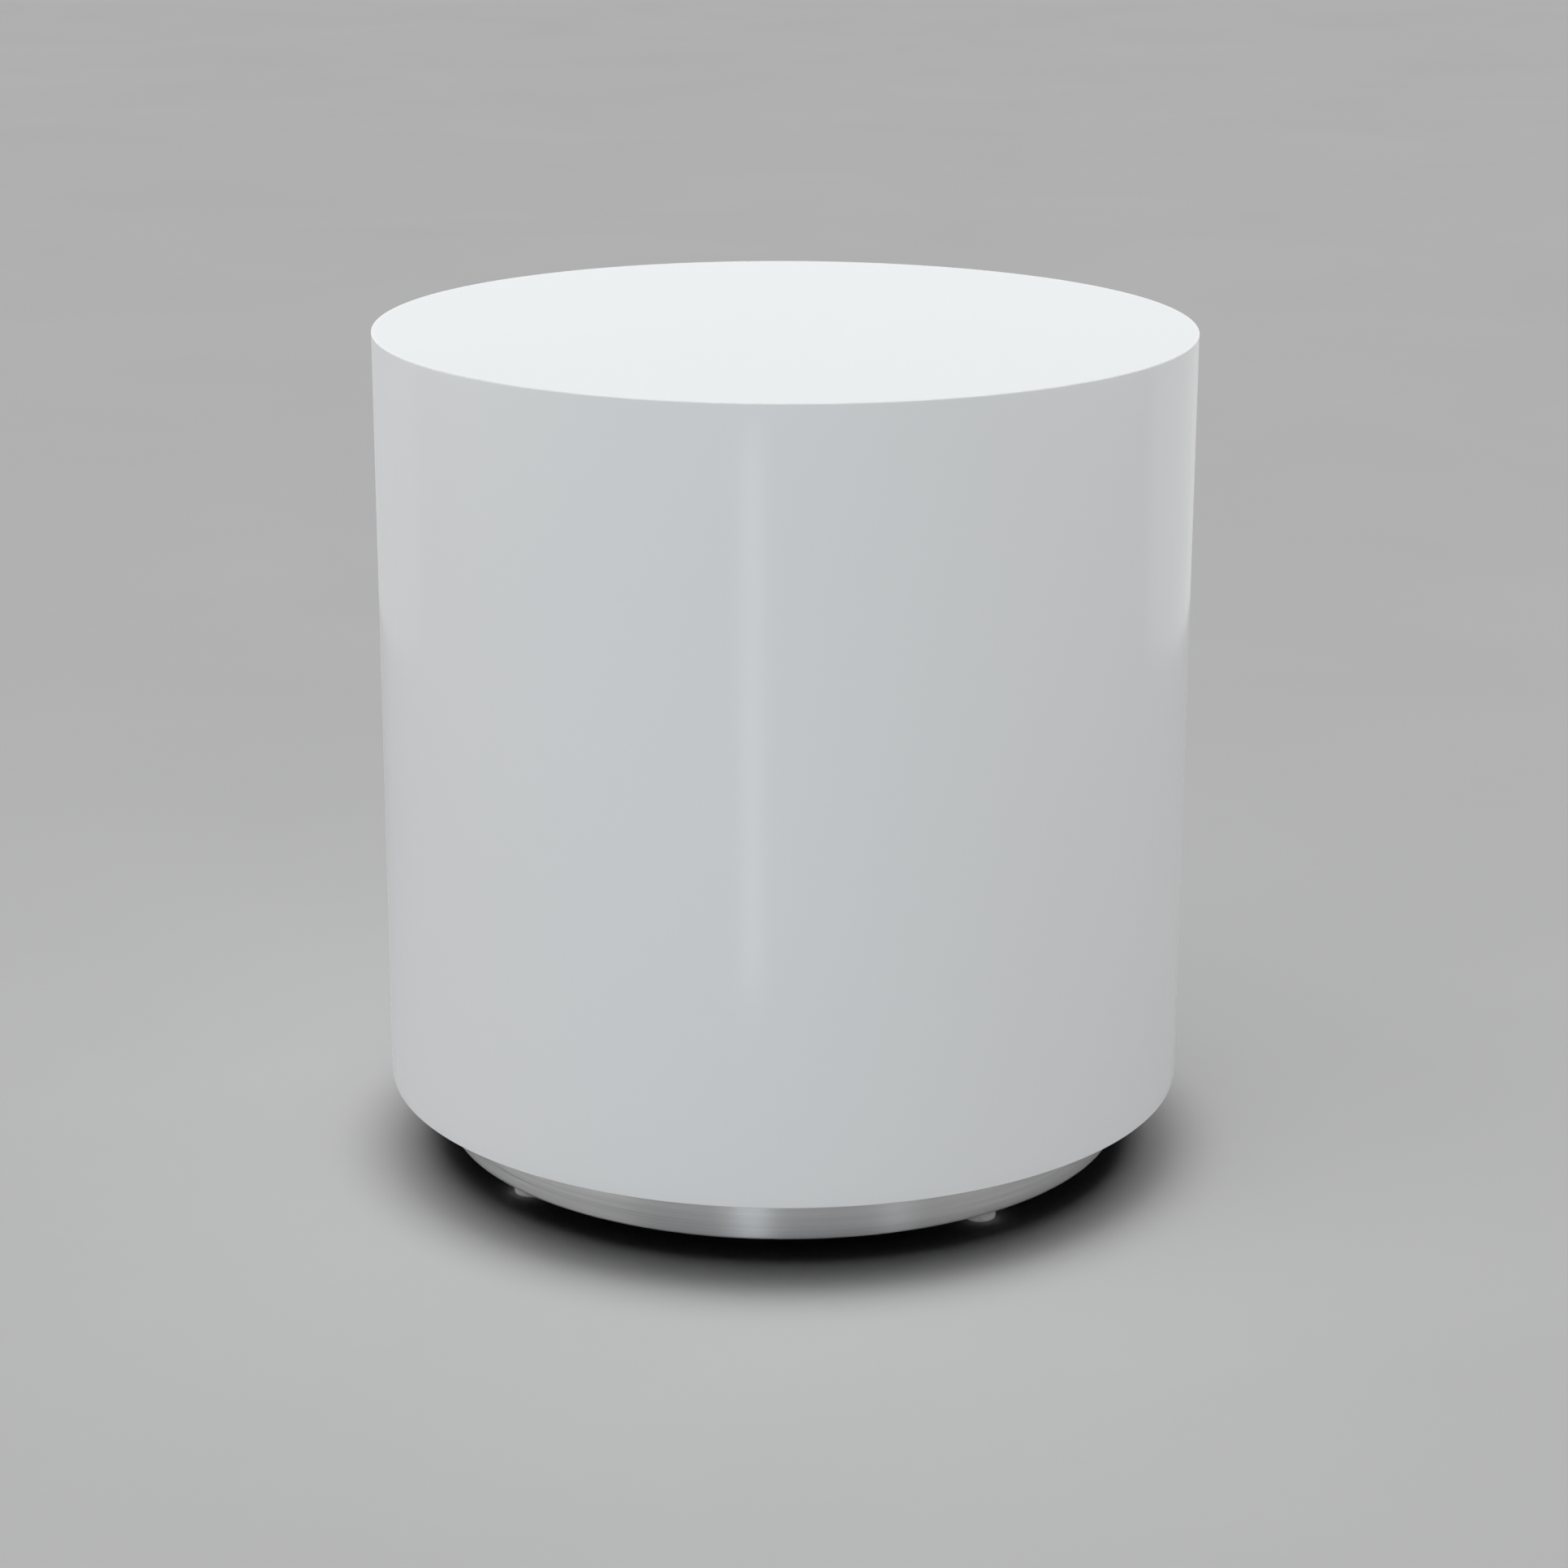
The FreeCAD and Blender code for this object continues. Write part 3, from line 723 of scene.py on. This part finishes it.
def screw(outline, arm, slot_width, depth):
    """A screw along +Z from (radius, height) points that start at the flat of its head."""
    bm = new_shape()
    head_radius, head_height = outline[0]
    rim = bmesh.ops.create_circle(bm, cap_ends=False, radius=head_radius, segments=SCREW_SIDES)["verts"]
    cross = bmesh.ops.create_circle(bm, cap_ends=False, radius=arm, segments=SCREW_SIDES)["verts"]
    half = slot_width / 2
    middle = (arm + half) / 2
    quarter = [(arm, 0), (arm, half), (middle, half), (half, half), (half, middle), (half, arm)]
    for vert in cross:
        step = round(math.atan2(vert.co.y, vert.co.x) / math.tau * SCREW_SIDES) % SCREW_SIDES
        arm_count, point = divmod(step, len(quarter))
        vert.co = Matrix.Rotation(math.tau / 4 * arm_count, 3, "Z") @ Vector((*quarter[point], 0))
    bmesh.ops.translate(bm, verts=bm.verts[:], vec=(0, 0, head_height))
    rim_edges = edges_where(bm, lambda vert: vert in rim)
    cross_edges = edges_where(bm, lambda vert: vert in cross)
    bmesh.ops.bridge_loops(bm, edges=rim_edges + cross_edges)
    floor = bmesh.ops.contextual_create(bm, geom=cross_edges)["faces"]
    sunk = pulled(bm, floor, (0, 0, depth))
    bmesh.ops.scale(bm, verts=sunk, vec=(RECESS_TAPER, RECESS_TAPER, 1.0))
    last = rim_edges
    for radius, height in outline[1:]:
        longer = bmesh.ops.extrude_edge_only(bm, edges=last)["geom"]
        last = [item for item in longer if isinstance(item, bmesh.types.BMEdge)]
        for vert in points_in(longer):
            vert.co = Vector((*(vert.co.xy.normalized() * radius), height))
    bmesh.ops.contextual_create(bm, geom=last)
    closed(bm)
    mark_wear_and_highlight(bm, [vert for vert in bm.verts if abs(vert.co.z - head_height) < SAME_POINT], 1.0)
    return as_mesh(bm, "screw_pattern")


print(f"screws have {SCREW_SIDES} sides")


# %% Put copies of a pattern in their places
def set_in(bm, pattern, place):
    """Add a copy of a pattern mesh to a shape, at a place given as a matrix."""
    before = len(bm.verts)
    bm.from_mesh(pattern)
    bm.verts.ensure_lookup_table()
    bmesh.ops.transform(bm, matrix=place, verts=bm.verts[before:])


def around(angle, radius, height, aside=0.0):
    """A place on the table: degrees from the right, radius, height, and a shift along the round."""
    return Matrix.Rotation(math.radians(angle), 4, "Z") @ Matrix.Translation((radius, aside, height))


def driven(radians):
    """How far a screw is turned in, since a real head stops at any turn."""
    return Matrix.Rotation(radians, 4, "Z")


BACK = 90.0
print(f"the back is at {BACK:.0f} degrees")

# %% A countersunk wood screw
HEAD = 4.0 * MM
HEAD_FLAT = HEAD - 0.15 * MM
HEAD_RIM = 0.12 * MM
SHANK = 2.0 * MM
POINT = 0.05 * MM


def wood_screw(length):
    """A countersunk wood screw, with a fine flat round the rim of its head."""
    outline = [
        (HEAD_FLAT, 0.0), (HEAD, HEAD_RIM), (SHANK, HEAD - SHANK),
        (SHANK, length - 2 * SHANK), (POINT, length),
    ]
    print(f"wood screw: {length / MM:.0f} mm long")
    return screw(outline, arm=2.3 * MM, slot_width=1.1 * MM, depth=1.9 * MM)


# %% Screws through the panels into the uprights
UPRIGHTS = 6
UPRIGHT_STEP = 360.0 / UPRIGHTS
UPRIGHT_RADIUS = 233.8 * MM
BITE = 32 * MM
HEAD_UP = Matrix.Rotation(math.pi, 4, "X")
former_low, former_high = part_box("upper_former")
panel_low, panel_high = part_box("bottom_panel")
bm = new_shape()
rising = wood_screw(panel_high.z - panel_low.z + BITE)
falling = wood_screw(former_high.z - former_low.z + BITE)
for count in range(UPRIGHTS):
    angle = BACK + UPRIGHT_STEP * count
    set_in(bm, rising, around(angle, UPRIGHT_RADIUS, panel_low.z) @ driven(0.7 * count))
    set_in(bm, falling, around(angle, UPRIGHT_RADIUS, former_high.z) @ HEAD_UP @ driven(0.7 * count))
piece(bm, "upright_screws", "table", "zinc_steel", zinc, "batten_screws")

# %% Screws up into the top panel
FORMER_RADIUS = 221.8 * MM
screws_low, screws_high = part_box("top_screws")
bm = new_shape()
upward = wood_screw(screws_high.z - screws_low.z)
for count in range(UPRIGHTS):
    angle = BACK + UPRIGHT_STEP * (count + 0.5)
    set_in(bm, upward, around(angle, FORMER_RADIUS, screws_low.z) @ driven(0.4 + 0.9 * count))
piece(bm, "panel_screws", "table", "zinc_steel", zinc, "top_screws")

# %% Screws through the glide blocks
GLIDES = {"front_right": -45.0, "rear_right": 45.0, "rear_left": 135.0, "front_left": 225.0}
BLOCK_RADIUS = 190 * MM
FROM_GLIDE = 25 * MM
screws_low, screws_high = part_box("block_screws")
bm = new_shape()
upward = wood_screw(screws_high.z - screws_low.z)
for count, angle in enumerate(GLIDES.values()):
    for aside in (-FROM_GLIDE, FROM_GLIDE):
        turned_in = driven(0.5 + 1.1 * count + 30 * aside)
        set_in(bm, upward, around(angle, BLOCK_RADIUS, screws_low.z, aside) @ turned_in)
piece(bm, "block_fixings", "table", "zinc_steel", zinc, "block_screws")

# %% Small round-headed screws beside the strip's seam
CROWN = 2.8 * MM
CROWN_HEIGHT = 1.4 * MM
SMALL_SHANK = 1.45 * MM
SMALL_LENGTH = 5.9 * MM
FROM_SEAM = 9 * MM
FROM_EDGE = 9 * MM
outline = [
    (0.62 * CROWN, -CROWN_HEIGHT), (0.82 * CROWN, -0.80 * CROWN_HEIGHT),
    (0.95 * CROWN, -0.5 * CROWN_HEIGHT), (CROWN, -0.2 * CROWN_HEIGHT), (CROWN, 0.0), (SMALL_SHANK, 0.0),
    (SMALL_SHANK, SMALL_LENGTH - 2 * SMALL_SHANK), (POINT, SMALL_LENGTH),
]
small_screw = screw(outline, arm=1.45 * MM, slot_width=0.75 * MM, depth=1.0 * MM)
inwards = Matrix.Rotation(-math.pi / 2, 4, "Y")
beside = math.degrees(FROM_SEAM / PLINTH_RADIUS)
bm = new_shape()
for count, height in enumerate((band_low.z + FROM_EDGE, band_high.z - FROM_EDGE)):
    for angle in (BACK - beside, BACK + beside):
        turned_in = driven(0.3 + 0.8 * count + 0.05 * angle)
        set_in(bm, small_screw, around(angle, PLINTH_RADIUS, height) @ inwards @ turned_in)
piece(bm, "strip_screws", "table", "zinc_steel", zinc, "band_screws")

# %% [markdown]
# ## Tee nuts
# Each block holds a tee nut: a pressed steel flange with a barrel, whose four prongs bite into the wood.
# It could be a plain collar, but the prongs keep it from turning. So the collar is spun first, and the
# faces at four places on its rim are drawn up into prongs.

# %% Make one tee nut
FLANGE = 9.5 * MM
FLANGE_THICK = 1.2 * MM
BARREL = 3.9 * MM
BARREL_LENGTH = 10 * MM
BORE = 3.06 * MM
PRONG = 6 * MM
PRONG_HALF = 7.5  # degrees to each side of the middle of a prong
FINE_EASE = 0.25 * MM
nut = new_shape()
spun(nut, [
    (BORE, 0), (FLANGE, 0), (FLANGE, FLANGE_THICK), (FLANGE - FLANGE_THICK, FLANGE_THICK),
    (BARREL, FLANGE_THICK), (BARREL, BARREL_LENGTH), (BORE, BARREL_LENGTH),
], steps=48, close=True)
bases = []
for face in nut.faces:
    middle = face.calc_center_median()
    off_prong = abs(math.degrees(math.atan2(middle.y, middle.x)) % 90.0 - 45.0)
    on_rim = abs(middle.z - FLANGE_THICK) < SAME_POINT and middle.xy.length > FLANGE - FLANGE_THICK
    if on_rim and off_prong < PRONG_HALF:
        bases.append(face)
pulled(nut, bases, (0, 0, PRONG))
rounded(nut, ring(nut, FLANGE, 0) + ring(nut, BORE, 0), FINE_EASE, segments=2)
nut_pattern = as_mesh(nut, "tee_nut_pattern")
print(f"tee nut: {len(bases)} faces drawn up by {PRONG / MM:.0f} mm")

# %% Set the four tee nuts into their blocks
block_low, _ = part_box("glide_block_front_right")
reach = {}
for place in GLIDES:
    foot_low, foot_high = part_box(f"glide_base_{place}")
    reach[place] = ((foot_low + foot_high) / 2).xy.length
bm = new_shape()
for place, angle in GLIDES.items():
    set_in(bm, nut_pattern, around(angle, reach[place], block_low.z))
piece(bm, "prong_nuts", "table", "zinc_steel", zinc, "tee_nuts")

# %% [markdown]
# ## Threaded stems
# A stem screws up through its tee nut, and one turn lifts or lowers the table by one thread. Grooves
# could come from a texture, but a true thread is a helix, and spin makes one: one tooth is spun while
# each step climbs a little, and a plane cuts both ends square. Below it follow a hexagon for a spanner
# and a riveted pivot.

# %% Spin a thread and cut it to length
THREAD_STEPS = 24
THREAD_DEPTH = 0.61  # of the pitch, as on a metric thread
CREST = 0.05 * MM


def thread(radius, pitch, low, high):
    """A threaded rod about the upright axis."""
    bm = new_shape()
    root = radius - THREAD_DEPTH * pitch
    rises = [(root, 0), (root, 1 / 4), (radius, 9 / 16), (radius, 11 / 16), (root, 1)]
    tooth = drawn(bm, [(across, low - pitch + pitch * up) for across, up in rises])
    turns = math.ceil((high - low) / pitch) + 2
    turned(bm, tooth, math.tau * turns, THREAD_STEPS * turns, climb=pitch / THREAD_STEPS)
    bmesh.ops.remove_doubles(bm, verts=bm.verts[:], dist=2 * SAME_POINT)
    for height, up in ((low, -1), (high, 1)):
        sliced(bm, height, up, clear=True)
        level = edges_where(bm, lambda vert: abs(vert.co.z - height) < SAME_POINT)
        bmesh.ops.contextual_create(bm, geom=[edge for edge in level if edge.is_boundary])
    mark_wear_and_highlight(bm, [vert for vert in bm.verts if vert.co.xy.length > radius - CREST], 0.8)
    bmesh.ops.recalc_face_normals(bm, faces=bm.faces[:])
    print(f"thread: {turns} turns spun, {(high - low) / MM:.1f} mm kept")
    return bm


# %% Make the hexagon and the pivot
ACROSS_FLATS = 10 * MM
COLLAR = 4 * MM
PIVOT = 2.25 * MM
RIVET = 3.75 * MM
RIVET_THICK = 1.6 * MM
FIT = 0.06 * MM
HEX_EASE = 0.3 * MM
RIVET_EASE = 0.5 * MM
PIVOT_SUNK = 0.2 * MM
stem_low, stem_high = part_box("glide_stem_front_right")
_, base_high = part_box("glide_base_front_right")
collar_low = base_high.z + FIT
hexagon = new_shape()
bmesh.ops.create_circle(hexagon, cap_ends=True, radius=ACROSS_FLATS / math.sqrt(3), segments=6)
pulled(hexagon, hexagon.faces[:], (0, 0, COLLAR), keep=True)
bmesh.ops.translate(hexagon, verts=hexagon.verts[:], vec=(0, 0, collar_low))
closed(hexagon)
rounded(hexagon, hexagon.edges[:], HEX_EASE, segments=2)

rivet_top = stem_low.z + RIVET_THICK
pivot_top = collar_low + PIVOT_SUNK
pivot = new_shape()
spun(pivot, [
    (0, stem_low.z + 0.5 * MM), (0.9 * MM, stem_low.z + 0.3 * MM), (1.6 * MM, stem_low.z),
    (RIVET, stem_low.z), (RIVET, rivet_top), (PIVOT, rivet_top), (PIVOT, pivot_top), (0, pivot_top),
], steps=32)
rounded(pivot, ring(pivot, RIVET, stem_low.z), RIVET_EASE, segments=3)
print(f"hexagon {ACROSS_FLATS / MM:.0f} mm across flats, rivet {2 * RIVET / MM:.1f} mm across")

# %% Put the four stems together
STEM = 3 * MM
PITCH = 1 * MM
ROD_SUNK = 0.3 * MM
rod = thread(STEM, PITCH, collar_low + COLLAR - ROD_SUNK, stem_high.z)
stem_patterns = [as_mesh(shape, "stem_pattern") for shape in (hexagon, pivot, rod)]
for place, angle in GLIDES.items():
    bm = new_shape()
    for pattern in stem_patterns:
        set_in(bm, pattern, around(angle, reach[place], 0.0))
    piece(bm, f"threaded_stem_{place}", f"stem_{place}", "zinc_steel", zinc, f"glide_stem_{place}")

# %% [markdown]
# ## The feet
# Each foot is a small nylon disc with a domed top. The stem's pivot turns in it, and a riveted end in its
# sole holds it on. The dome could be half a sphere, but the real one has a short upright rim. So a
# stepped disc is spun, and one wide rounding of its upper edge makes the dome.

# %% Make one foot
FOOT = 10 * MM
HOLE = 2.31 * MM
POCKET = 4.15 * MM
DOME = 3.8 * MM
SOLE_EASE = 1.0 * MM
SCUFF_HEIGHT = 1.1 * MM
SCUFF_RADIUS = 8 * MM
foot_top = base_high.z
pocket_top = rivet_top + FIT
foot = new_shape()
spun(foot, [
    (HOLE, foot_top), (FOOT, foot_top), (FOOT, 0), (POCKET, 0), (POCKET, pocket_top), (HOLE, pocket_top),
], steps=64, close=True)
rounded(foot, ring(foot, FOOT, foot_top), DOME, segments=8)
rounded(foot, ring(foot, FOOT, 0), SOLE_EASE, segments=3)
rounded(foot, ring(foot, POCKET, 0) + ring(foot, HOLE, foot_top), FINE_EASE, segments=2)
scuffed = [vert for vert in foot.verts if vert.co.z < SCUFF_HEIGHT and vert.co.xy.length > SCUFF_RADIUS]
mark_wear_and_highlight(foot, foot.verts, 0.0)
mark_wear_and_highlight(foot, scuffed, 1.0)
foot_pattern = as_mesh(foot, "foot_pattern")
print(f"foot: {2 * FOOT / MM:.0f} mm across, {foot_top / MM:.0f} mm high")

# %% Set the four feet on their stems
for place, angle in GLIDES.items():
    bm = new_shape()
    set_in(bm, foot_pattern, around(angle, reach[place], 0.0))
    piece(bm, f"nylon_foot_{place}", f"glide_{place}", "glide_nylon", nylon, f"glide_base_{place}")

# %% [markdown]
# ## The floor
# The table stands on a plain pale floor that runs on far behind it. A small plane would end in view, so
# it is wide, and far off it sweeps up, as paper does in a studio, so that a low view has no dark sky. Its
# finish is matt with a faint mottle, which keeps the shadow under the plinth soft.

# %% Mix the pale floor
FLOOR_GREY = (0.635, 0.635, 0.635, 1)
FLOOR_PALE = (0.655, 0.655, 0.655, 1)
stone, tree = new_finish("pale_floor", {"IOR": 1.45, "Specular IOR Level": 0.08})
place = on_object(tree)
mottle = span(noise(place, 2.2, detail=5.0, distortion=0.6), 0.3, 0.7)
colour = tint(mottle, FLOOR_GREY, FLOOR_PALE)
rough = span(noise(place, 6.0, detail=3.0), 0.3, 0.7, 0.66, 0.72)
wire(stone, colour, rough, noise(place, 900.0), depth=0.02 * MM, strength=0.3)

# %% Lay the floor
HALF_FLOOR = 30.0


def staged(bm, name, finish):
    """A thing of the studio, which is not part of the table."""
    mesh = as_mesh(bm, name)
    mesh.materials.append(finish)
    made = bpy.data.objects.new(name, mesh)
    scene.collection.objects.link(made)
    print(f"{name}: {len(mesh.polygons)} faces")
    return made


bm = bmesh.new()
bmesh.ops.create_grid(bm, x_segments=8, y_segments=8, size=HALF_FLOOR)
ground = staged(bm, "floor", stone)

# %% Sweep it up far off, where only the camera sees it
SWEEP_START = 12.0
SWEEP_BEND = 6.0
SWEEP_TOP = 12.0
BEND_STEPS = 15
bend = [math.pi / 2 * step / BEND_STEPS for step in range(BEND_STEPS + 1)]
rise = [
    (SWEEP_START + SWEEP_BEND * math.sin(angle), SWEEP_BEND * (1 - math.cos(angle))) for angle in bend
]
bm = new_shape()
spun(bm, rise + [(SWEEP_START + SWEEP_BEND, SWEEP_TOP)], ROUND)
sweep = staged(bm, "sweep", stone)
sweep.data.shade_smooth()
sweep.visible_diffuse = sweep.visible_glossy = False
sweep.visible_transmission = sweep.visible_shadow = False

# %% [markdown]
# ## Light from above
# A white drum has no pattern, so light is what draws it. A wide, soft sun from above lights the floor
# evenly, and a weak one from the left adds a faint longer shadow. The drum would shade the wide sun far
# out, but the real shadow is short and dark, so only a round card under the drum stops it. A dark card
# soaks up light that bounces under the plinth, and a grey one keeps the colour of the wood out of the
# shadow. The camera sees none.

# %% Two suns
VIEW_TURN = math.radians(7.5)
MIDDLE = Vector((0, 0, 0.28))


def spot_round(angle, distance, height):
    """A point round the table, in degrees from the camera, to the right as it looks."""
    turn = VIEW_TURN + math.radians(angle)
    return Vector((math.sin(turn) * distance, -math.cos(turn) * distance, height))


def hung(light, spot, aim):
    """A lamp at a spot, turned to what it lights and unseen by the camera."""
    made = bpy.data.objects.new(light.name, light)
    made.location = spot
    made.rotation_euler = (aim - spot).to_track_quat("-Z", "Y").to_euler()
    made.visible_camera = False
    scene.collection.objects.link(made)
    return made


def sun(name, brightness, spread, spot):
    """A sun some degrees wide. Brightness is how bright a white card looks that faces it."""
    light = bpy.data.lights.new(name, "SUN")
    light.energy = brightness * math.pi
    light.angle = math.radians(spread)
    print(f"{name}: {light.energy:.2f} W/m2, {spread} degrees wide")
    return hung(light, spot, MIDDLE)


overhead = sun("soft_sun", 0.54, 80, Vector((0, 0, 3.0)))
sun("window_sun", 0.14, 50, spot_round(-50.0, 1.0, MIDDLE.z + 2.1))


# %% Cards that shape the shadow
def round_card(name, inner, outer, centre, grey, narrow=1.0):
    """A round card under the drum. It is out of sight, and the caller says what it stops."""
    bm = new_shape()
    spun(bm, [(inner, 0.0), (outer, 0.0)], ROUND)
    bmesh.ops.scale(bm, verts=bm.verts[:], vec=(narrow, 1.0, 1.0))
    bmesh.ops.translate(bm, verts=bm.verts[:], vec=centre)
    paper, _ = new_finish(name, {"Base Color": (grey, grey, grey, 1), "Specular IOR Level": 0.0})
    made = staged(bm, name, paper)
    made.visible_camera = made.visible_glossy = made.visible_transmission = False
    return made


under_drum = spot_round(-4.0, 17 * MM, DECK)
shade = round_card("shade_card", 0.0, DRUM_RADIUS + 9 * MM, under_drum, grey=0.0, narrow=0.966)
shade.visible_diffuse = False
shaded_by = bpy.data.collections.new("card_alone")
shaded_by.objects.link(shade)
overhead.light_linking.blocker_collection = shaded_by

under_plinth = spot_round(0.0, 4 * MM, band_low.z - 1 * MM)
dark = round_card("dark_card", 0.0, DRUM_RADIUS - 27 * MM, under_plinth, grey=0.2)
dark.visible_shadow = False

under_edge = (0, 0, DECK - 1 * MM)
lining = round_card("grey_card", PLINTH_RADIUS + 1 * MM, DRUM_RADIUS - 1 * MM, under_edge, grey=0.6)
lining.visible_shadow = False

# %% An even sky
SKY_COLOUR = (0.95, 0.98, 1.0, 1)
SKY_STRENGTH = 0.03
world = bpy.data.worlds.new("soft_sky")
world.use_nodes = True
sky = world.node_tree.nodes["Background"].inputs
sky["Color"].default_value = SKY_COLOUR
sky["Strength"].default_value = SKY_STRENGTH
scene.world = world
scene.view_settings.view_transform = "Standard"
print(f"sky {SKY_STRENGTH:.2f}")

# %% [markdown]
# ## Light on the table
# Panels on four sides lift the drum's side, as pale walls would. They would wash out the shadow, so a
# light link keeps them off the floor. Low skirts light only the steel strip and the feet, and dim strips
# behind keep the drum's lower edges from going dark. Three narrow lamps in front draw the sheen on the
# white sheet and two flares on the steel.

# %% Say what the panels light
off_floor = bpy.data.collections.new("off_the_floor")
off_floor.objects.link(ground)
off_floor.collection_objects[0].light_linking.link_state = "EXCLUDE"
plinth_only = bpy.data.collections.new("plinth_only")
for name in ["plinth_strip"] + [f"nylon_foot_{place}" for place in GLIDES]:
    plinth_only.objects.link(bpy.data.objects[name])

# %% Panels, skirts and strips round the table
PLAIN = (1.0, 1.0, 1.0)
TENT = 2.0
SKIRT = 1.0
SKIRT_HEIGHT = 0.2
STRIP = 1.4
STRIP_HEIGHT = 0.32
STRIP_WIDTH = 2 * STRIP * math.tan(math.radians(22.5))  # one side of an octagon


def panel(name, spot, width, height, brightness, colour, lit):
    """An upright panel that faces the table's axis. Brightness is that of its face, and 1 is white."""
    light = bpy.data.lights.new(name, "AREA")
    light.shape = "RECTANGLE"
    light.size = width
    light.size_y = height
    light.energy = brightness * 4 * width * height
    light.color = colour
    made = hung(light, spot, Vector((0, 0, spot.z)))
    made.light_linking.receiver_collection = lit
    print(f"{name}: {width:.2f} by {height:.2f} m, {light.energy:.2f} W")


for side, angle, low, brightness, skirt, colour in (
    ("front", 0.0, 0.2, 0.54, 0.68, (0.94, 0.98, 1.0)),
    ("right", 90.0, 0.2, 0.53, 1.12, (1.0, 0.985, 0.97)),
    ("rear", 180.0, 0.3, 0.80, 0.85, (0.95, 0.985, 1.0)),
    ("left", -90.0, 0.2, 0.64, 1.70, PLAIN),
):
    wall = spot_round(angle, TENT, (TENT + low) / 2)
    panel(f"{side}_panel", wall, 2 * TENT, TENT - low, brightness, colour, off_floor)
    skirting = spot_round(angle, SKIRT, SKIRT_HEIGHT / 2)
    panel(f"{side}_skirt", skirting, 2 * SKIRT, SKIRT_HEIGHT, skirt, PLAIN, plinth_only)
for side, angle, brightness in (("left", -135.0, 0.12), ("rear", 180.0, 0.07), ("right", 135.0, 0.22)):
    behind = spot_round(angle, STRIP, STRIP_HEIGHT / 2)
    panel(f"{side}_strip", behind, STRIP_WIDTH, STRIP_HEIGHT, brightness, PLAIN, off_floor)

# %% Narrow lamps for the sheen and the flares
panel("sheen", spot_round(-7.0, 0.70, 0.22), 0.06, 0.40, 0.95, (0.86, 0.94, 1.0), off_floor)
panel("steel_sheen", spot_round(-8.6, 0.55, 0.08), 0.09, 0.16, 1.45, (0.85, 0.93, 1.0), plinth_only)
panel("steel_glow", spot_round(30.0, 0.55, 0.08), 0.08, 0.16, 0.75, PLAIN, plinth_only)

# %% [markdown]
# ## Camera
# The picture is taken from a little above the table, with a long lens, and slightly from the right. A
# camera could be aimed by eye, but four numbers fix it better: how far it stands from the table's axis,
# how high, how much it looks down and how much it is tipped. They were found by fitting the rims of the
# drum and the plinth.

# %% Set up the camera
LENS = 85.71
STAND_OFF = 2.2847
EYE_HEIGHT = 0.9205
LOOK_DOWN = 16.81
TIP = 0.16
view = bpy.data.cameras.new("view")
view.sensor_width = 36.0
view.lens = LENS
view.clip_end = 100.0
camera = bpy.data.objects.new("view", view)
stand = spot_round(0.0, STAND_OFF, EYE_HEIGHT)
aimed = Matrix.Rotation(VIEW_TURN, 4, "Z")
lowered = Matrix.Rotation(math.radians(90.0 - LOOK_DOWN), 4, "X")
tipped = Matrix.Rotation(math.radians(TIP), 4, "Z")
camera.matrix_world = Matrix.Translation(stand) @ aimed @ lowered @ tipped
scene.collection.objects.link(camera)
scene.camera = camera
print("camera at", [round(number, 3) for number in stand])
